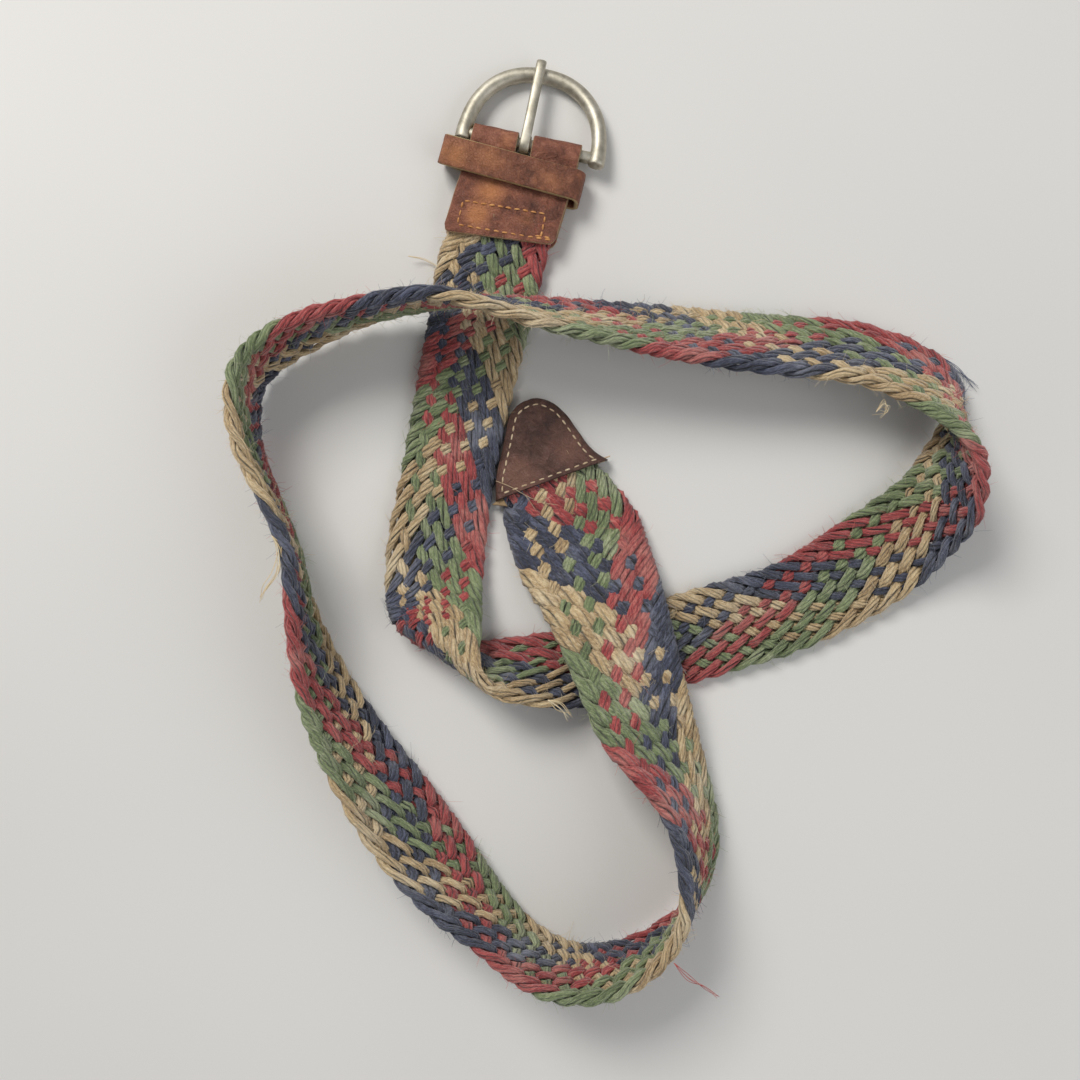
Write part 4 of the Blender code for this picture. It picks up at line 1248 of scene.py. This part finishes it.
def detailed_frame():
    """Half-round wire that thickens into blunt ends, with the straight bar through them."""
    centre, along, front = (np.array(v) for v in bar_frame())
    drop = (BAR_HEIGHT - FRAME_ARC_HEIGHT) / FRAME_REACH
    out = unit(front - np.array((0, 0, drop)))
    centre = centre + (0, 0, BAR_HEIGHT)
    power = 2.0 / FRAME_SQUARENESS
    angle = np.pi * np.arange(WIRE_STEPS + 1) / WIRE_STEPS
    place = FRAME_HALF_WIDTH * np.sign(np.cos(angle)) * np.abs(np.cos(angle)) ** power
    reach = FRAME_REACH * np.abs(np.sin(angle)) ** power
    tail = np.array([share for share, _ in ARM_END]) * ARM_END_RADIUS
    size = np.array([share for _, share in ARM_END]) * ARM_END_RADIUS
    place = np.concatenate([0 * tail + place[0], place[1:-1], 0 * tail + place[-1]])
    reach = np.concatenate([tail, reach[1:-1], tail[::-1]])
    swell = (ARM_END_RADIUS - WIRE_RADIUS) * np.exp(-(reach / ARM_SWELL_REACH) ** 2)
    radius = WIRE_RADIUS + swell
    radius[: len(tail)] = size
    radius[-len(tail) :] = size[::-1]
    middle = centre + along * place[:, None] + out * reach[:, None]
    level = unit(np.cross(along, out))
    ahead = unit(np.gradient(middle, axis=0))
    side = unit(np.cross(level, ahead))
    made = Tubes(WIRE_SIDES)
    made.add(middle, side, side * 0 + level, radius, radius)
    bar = centre + along * np.linspace(-FRAME_HALF_WIDTH, FRAME_HALF_WIDTH, BAR_RINGS)[:, None]
    made.add(bar, bar * 0 + out, bar * 0 + level, BAR_RADIUS, BAR_RADIUS)
    return outward(made.build("worn_buckle_frame"))


def detailed_prong():
    """A rounded tongue over the arc, curled round the bar at its root."""
    centre, along, front = (np.array(v) for v in bar_frame())
    centre = centre + along * PRONG_PLACE
    middle_round = BAR_ROOM + PRONG_SHEET / 2
    reach = FRAME_REACH + WIRE_RADIUS + PRONG_OVERHANG
    low = FRAME_ARC_HEIGHT + WIRE_RADIUS + GAP + PRONG_SHANK / 2
    high = BAR_HEIGHT + middle_round
    rows = []
    for share, rise, thick in PRONG_LINE:
        rows.append((share * reach, low + (high - low) * rise, thick * PRONG_SHANK))
    for k in range(EYE_STEPS):
        angle = math.radians(90 + EYE_STEP_DEG * k)
        height = BAR_HEIGHT + middle_round * math.sin(angle)
        rows.append((middle_round * math.cos(angle), height, PRONG_SHEET))
    line = smooth_line(rows, PRONG_STEPS)
    middle = centre + front * line[:, :1] + line[:, 1:2] * (0.0, 0.0, 1.0)
    thick = line[:, 2] / 2
    wide = np.full(len(line), PRONG_WIDTH / 2)
    for k, share in enumerate(PRONG_NOSE):
        wide[k] *= share
        thick[k] *= share
    ahead = unit(np.gradient(middle, axis=0))
    side = ahead * 0 + along
    made = Tubes(PRONG_SIDES)
    made.add(middle, side, unit(np.cross(ahead, side)), wide, thick, square=PRONG_BOXINESS)
    return outward(made.build("worn_prong"))


# Materials

class Socket:
    """A value inside a material, which takes part in plain sums."""

    def __init__(self, finish, link):
        self.finish, self.link = finish, link

    def sum(self, kind, a, b):
        return self.finish.node("ShaderNodeMath", {"operation": kind}, {0: a, 1: b})

    def __add__(self, other):
        return self.sum("ADD", self, other)

    def __radd__(self, other):
        return self.sum("ADD", other, self)

    def __sub__(self, other):
        return self.sum("SUBTRACT", self, other)

    def __rsub__(self, other):
        return self.sum("SUBTRACT", other, self)

    def __mul__(self, other):
        return self.sum("MULTIPLY", self, other)

    def __rmul__(self, other):
        return self.sum("MULTIPLY", other, self)


class Finish:
    """A material and the few ways that its nodes are made."""

    def __init__(self, name, **settings):
        self.material = bpy.data.materials.new(name)
        self.material.use_nodes = True
        self.tree = self.material.node_tree
        self.shader = self.tree.nodes["Principled BSDF"]
        for key, value in settings.items():
            self.shader.inputs[key.replace("_", " ")].default_value = value

    def node(self, kind, settings=None, values=None, out=0):
        made = self.tree.nodes.new(kind)
        for key, value in (settings or {}).items():
            if key == "stops":
                self.set_stops(made.color_ramp, value)
            else:
                setattr(made, key, value)
        for key, value in (values or {}).items():
            self.feed(made.inputs[key], value)
        return Socket(self, made.outputs[out])

    def set_stops(self, ramp, stops):
        while len(ramp.elements) < len(stops):
            ramp.elements.new(0.5)
        for element, (place, colour) in zip(ramp.elements, stops):
            element.position = place
            element.color = (*colour, 1.0) if hasattr(colour, "__len__") else (colour, colour, colour, 1.0)

    def feed(self, socket, value):
        if isinstance(value, Socket):
            self.tree.links.new(value.link, socket)
        elif socket.type == "RGBA":
            socket.default_value = (*value, 1.0)
        else:
            socket.default_value = value

    def place(self):
        return self.node("ShaderNodeTexCoord", out="Object")

    def layer(self, name):
        return self.node("ShaderNodeAttribute", {"attribute_name": name}, out="Fac")

    def noise(self, scale, detail=3.0, rough=0.55, where=None, lean=0.0):
        """Clouds from 0 to 1. scale: how many to a metre. where: another place to read them at."""
        where = where or self.place()
        values = {"Vector": where, "Scale": scale, "Detail": detail, "Roughness": rough, "Distortion": lean}
        return self.node("ShaderNodeTexNoise", {"noise_dimensions": "3D"}, values)

    def cells(self, scale):
        """Distance to the nearest border of small cells."""
        values = {"Vector": self.place(), "Scale": scale}
        return self.node("ShaderNodeTexVoronoi", {"feature": "DISTANCE_TO_EDGE"}, values)

    def span(self, value, low, high, to_low=0.0, to_high=1.0):
        """value from low..high to to_low..to_high, held at both ends."""
        values = {0: value, 1: low, 2: high, 3: to_low, 4: to_high}
        return self.node("ShaderNodeMapRange", {"clamp": True}, values)

    def blend(self, share, a, b, kind="MIX"):
        made = self.tree.nodes.new("ShaderNodeMix")
        made.data_type = "RGBA"
        made.blend_type = kind
        self.feed(made.inputs[0], share)
        self.feed(made.inputs[6], a)
        self.feed(made.inputs[7], b)
        return Socket(self, made.outputs[2])

    def ramp(self, share, stops):
        return self.node("ShaderNodeValToRGB", {"stops": stops}, {0: share}, out="Color")

    def vector(self, x, y, z):
        return self.node("ShaderNodeCombineXYZ", None, {0: x, 1: y, 2: z})

    def bump(self, height, depth, strength=1.0):
        values = {"Height": height, "Distance": depth, "Strength": strength}
        return self.node("ShaderNodeBump", None, values)

    def finish(self, **links):
        for key, value in links.items():
            self.feed(self.shader.inputs[key.replace("_", " ")], value)
        return self.material


def rgb(*values):
    """A colour as a screen shows it, 0 to 255, made linear."""
    return tuple((v / 255 / 12.92) if v <= 10 else ((v / 255 + 0.055) / 1.055) ** 2.4 for v in values)


def yarn_finish(name, deep, middle, light, dusty):
    """Jute yarn: dyed fibres that run round it, paler where the dye wore off, and darker in the crevices
    between the yarns with painted shade and some dirt.
    """
    m = Finish(name, Roughness=0.62)
    m.shader.inputs["Sheen Weight"].default_value = 0.35
    m.shader.inputs["Sheen Roughness"].default_value = 0.5
    m.shader.inputs["Specular IOR Level"].default_value = 0.45
    along, shade = m.layer("along"), m.layer("shade")
    round_a, round_b = m.layer("round_a"), m.layer("round_b")
    fibres = m.vector(along * 0.14 + shade * 5.0, round_a * 2.2, round_b * 2.2)
    streak = m.noise(1.0, 5.0, 0.78, fibres)
    blotch = m.noise(150.0, 2.0)
    tone = m.span(streak * 2.2 + shade * 0.1 + blotch * 0.35, 0.85, 1.75)
    colour = m.ramp(tone, [(0.0, deep), (0.42, middle), (0.85, light)])
    worn = m.span(m.noise(60.0, 3.0, 0.6) + streak * 0.6, 0.8, 1.05)
    colour = m.blend(worn * 0.6, colour, dusty)
    # Painted shade, with some dirt: darker where the yarn's surface lies deep between the other yarns of its
    # strand
    painted_crevice_shade = m.span(m.layer("outer"), 0.55, 0.92, 0.22, 1.0)
    colour = m.blend(1.0, colour, m.ramp(painted_crevice_shade, [(0.0, 0.0), (1.0, 1.0)]), "MULTIPLY")
    return m.finish(Base_Color=colour, Normal=m.bump(streak, 0.0005, 0.9))


def leather_finish(name, deep, middle, light, worn, cut):
    """Crumpled leather: darker in its hollows as painted shade, rubbed paler on its lumps, raw along its cut
    edges.
    """
    m = Finish(name)
    m.shader.inputs["Specular IOR Level"].default_value = 0.4
    cloud = m.noise(130.0, 5.0, 0.62, lean=0.5)
    patch = m.noise(45.0, 2.0, 0.5)
    crumple = m.noise(330.0, 6.0, 0.62, lean=0.7)
    # Painted shade: the crumple noise that raises the bumps also darkens the colour in their hollows
    tone = m.span(cloud * 0.55 + patch * 0.35 + crumple * 0.55, 0.5, 0.98)
    colour = m.ramp(tone, [(0.0, deep), (0.5, middle), (1.0, light)])
    # Worn spots made paler, more on their lumps; on the keeper the spots at its left end and middle are also
    # a painted highlight
    rubbed = m.span(m.layer("rubbed") * (patch + 0.5) + crumple * 0.5, 0.3, 1.1)
    colour = m.blend(rubbed * 0.75, colour, worn)
    colour = m.blend(m.span(m.layer("edge") + (cloud - 0.5) * 0.5, 0.35, 0.95) * 0.8, colour, cut)
    height = m.span(m.cells(1100.0), 0.0, 0.12) * 0.12 + crumple * 1.1 + m.noise(1500.0, 3.0) * 0.12
    rough = m.span(crumple, 0.3, 0.7, 0.62, 0.46)
    return m.finish(Base_Color=colour, Roughness=rough, Normal=m.bump(height, 0.0011, 0.85))


def hair_finish(name, middle, light, dusty):
    """Loose plant fibre, paler than the yarn it came from."""
    m = Finish(name, Roughness=0.8)
    shade = m.span(m.layer("shade") + m.noise(90.0, 2.0), -0.8, 1.6)
    return m.finish(Base_Color=m.ramp(shade, [(0.0, middle), (0.5, light), (1.0, dusty)]))


def thread_finish(name, deep, light):
    """Waxed sewing thread with its twist."""
    m = Finish(name, Roughness=0.6)
    where = m.vector(m.layer("along") * 0.7, m.layer("round_a") * 2.0, m.layer("round_b") * 2.0)
    twist = m.noise(1.0, 3.0, 0.6, where)
    tone = m.span(twist + m.layer("shade") * 0.08, 0.3, 0.7)
    return m.finish(Base_Color=m.ramp(tone, [(0.0, deep), (1.0, light)]), Normal=m.bump(twist, 0.0002, 0.8))


def metal_finish(name):
    """Satin silver plate, tarnished in small clouds."""
    m = Finish(name, Metallic=1.0)
    wear = m.noise(420.0, 5.0, 0.7)
    dark = m.noise(140.0, 4.0, 0.65)
    tone = m.span(dark * 0.7 + wear * 0.5, 0.4, 0.8)
    colour = m.ramp(tone, [(0.0, rgb(150, 144, 128)), (0.5, rgb(188, 182, 166)), (1.0, rgb(214, 209, 196))])
    rough = m.span(wear, 0.3, 0.7, 0.46, 0.62)
    return m.finish(Base_Color=colour, Roughness=rough, Normal=m.bump(wear, 0.00012, 0.6))


def set_finish(thing, material):
    thing.data.materials.clear()
    thing.data.materials.append(material)


def dress(piece, finish, body, slot, *nodes):
    """Gives a piece its finish and its body, and hides the CAD nodes that it stands for. Its slot is not
    used.
    """
    set_finish(piece, finish)
    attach(piece, body)
    if nodes:
        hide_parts(*nodes)


# Colours as a screen shows them, 0 to 255. Deep, middle, light and dusty
YARN_COLOURS = {
    "tan": ((112, 84, 54), (193, 164, 120), (231, 210, 168), (238, 224, 194)),
    "navy": ((16, 18, 30), (45, 49, 68), (98, 104, 128), (152, 155, 168)),
    "green": ((50, 60, 36), (113, 128, 84), (166, 177, 132), (202, 204, 172)),
    "red": ((84, 22, 26), (156, 51, 52), (206, 104, 98), (218, 160, 146)),
}
# Deep, middle, light, worn and cut
LEATHER_COLOURS = {
    "tab_leather": ((74, 41, 31), (132, 81, 62), (172, 115, 91), (188, 124, 76), (176, 150, 116)),
    "keeper_leather": ((68, 38, 27), (122, 74, 53), (160, 106, 78), (178, 118, 74), (186, 166, 120)),
    "tip_leather": ((38, 23, 20), (80, 53, 45), (116, 84, 74), (124, 88, 74), (60, 40, 31)),
    "raw_leather": ((128, 104, 74), (158, 132, 98), (182, 156, 120), (182, 156, 120), (150, 124, 92)),
}
# Deep and light
THREAD_COLOURS = {
    "ochre_thread": ((172, 106, 50), (232, 176, 112)),
    "cream_thread": ((160, 128, 92), (236, 218, 186)),
    "pale_thread": ((176, 146, 104), (226, 204, 176)),
}


def linear(colours):
    """A row of a colour table, made linear."""
    return [rgb(*colour) for colour in colours]


woven, strand_lines = strands()
for colour, piece in woven.items():
    set_finish(piece, yarn_finish(f"{colour}_yarn", *linear(YARN_COLOURS[colour])))
    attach(piece, "belt")
    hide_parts("woven_band")

for colour, piece in fibres(strand_lines).items():
    set_finish(piece, hair_finish(f"{colour}_hair", *linear(YARN_COLOURS[colour][1:])))
    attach(piece, "belt")

leathers = {name: leather_finish(name, *linear(row)) for name, row in LEATHER_COLOURS.items()}
threads = {name: thread_finish(name, *linear(row)) for name, row in THREAD_COLOURS.items()}
metal = metal_finish("worn_silver")
tip_front, tip_back = detailed_tip()
dress(detailed_tab(), leathers["tab_leather"], "belt", "tab_leather", "tab")
dress(detailed_keeper(), leathers["keeper_leather"], "belt", "keeper_leather", "keeper_loop")
dress(tip_front, leathers["tip_leather"], "belt", "tip_leather", "tip_front")
dress(tip_back, leathers["tip_leather"], "belt", "tip_back_leather", "tip_back")
dress(folded_corner(), leathers["raw_leather"], "belt", "tip_back_leather")
dress(tab_thread(), threads["ochre_thread"], "belt", "tab_leather")
dress(tip_thread(), threads["cream_thread"], "belt", "tip_leather")
dress(tip_threads(), threads["pale_thread"], "belt", "tip_leather")
dress(detailed_frame(), metal, "buckle", "buckle_metal", "buckle_frame")
dress(detailed_prong(), metal, "prong", "prong_metal", "prong")


# Floor, light and camera

def flat_plane(name, size, z):
    points = [(-size, -size, z), (size, -size, z), (size, size, z), (-size, size, z)]
    return add_mesh(name, points, [[0, 1, 2, 3]], smooth=False, lowest=z)


floor = flat_plane("pale_floor", 1500.0, 0.0)
paper = Finish("pale_paper", Roughness=0.9)
paper_tone = paper.ramp(paper.noise(3.0, 2.0), [(0.3, rgb(214, 212, 208)), (0.7, rgb(222, 220, 216))])
set_finish(floor, paper.finish(Base_Color=paper_tone))


def soft_light(name, place, size, power, colour=(1.0, 1.0, 1.0)):
    lamp = bpy.data.lights.new(name, "AREA")
    lamp.shape = "SQUARE"
    lamp.size = size
    lamp.energy = power
    lamp.color = colour
    thing = bpy.data.objects.new(name, lamp)
    bpy.context.scene.collection.objects.link(thing)
    thing.location = place
    thing.rotation_euler = Vector(place).to_track_quat("Z", "Y").to_euler()
    return thing


soft_light("key", (-0.55, 0.75, 0.95), 0.55, 13.0, (1.0, 0.98, 0.95))
soft_light("fill", (0.9, -0.5, 0.8), 1.0, 5.0, (0.95, 0.97, 1.0))
world = bpy.data.worlds.new("soft_room")
world.use_nodes = True
world.node_tree.nodes["Background"].inputs["Color"].default_value = (0.9, 0.92, 0.95, 1.0)
world.node_tree.nodes["Background"].inputs["Strength"].default_value = 0.35
bpy.context.scene.world = world
bpy.context.scene.view_settings.view_transform = "Standard"

lens = bpy.data.cameras.new("camera")
lens.sensor_width = SENSOR
lens.lens = SENSOR * VIEW_HEIGHT / VIEW_WIDTH
lens.clip_start = 0.01
camera = bpy.data.objects.new("camera", lens)
bpy.context.scene.collection.objects.link(camera)
camera.location = (CENTRE_SHIFT + Vector((0, 0, VIEW_HEIGHT))) * MM
bpy.context.scene.camera = camera
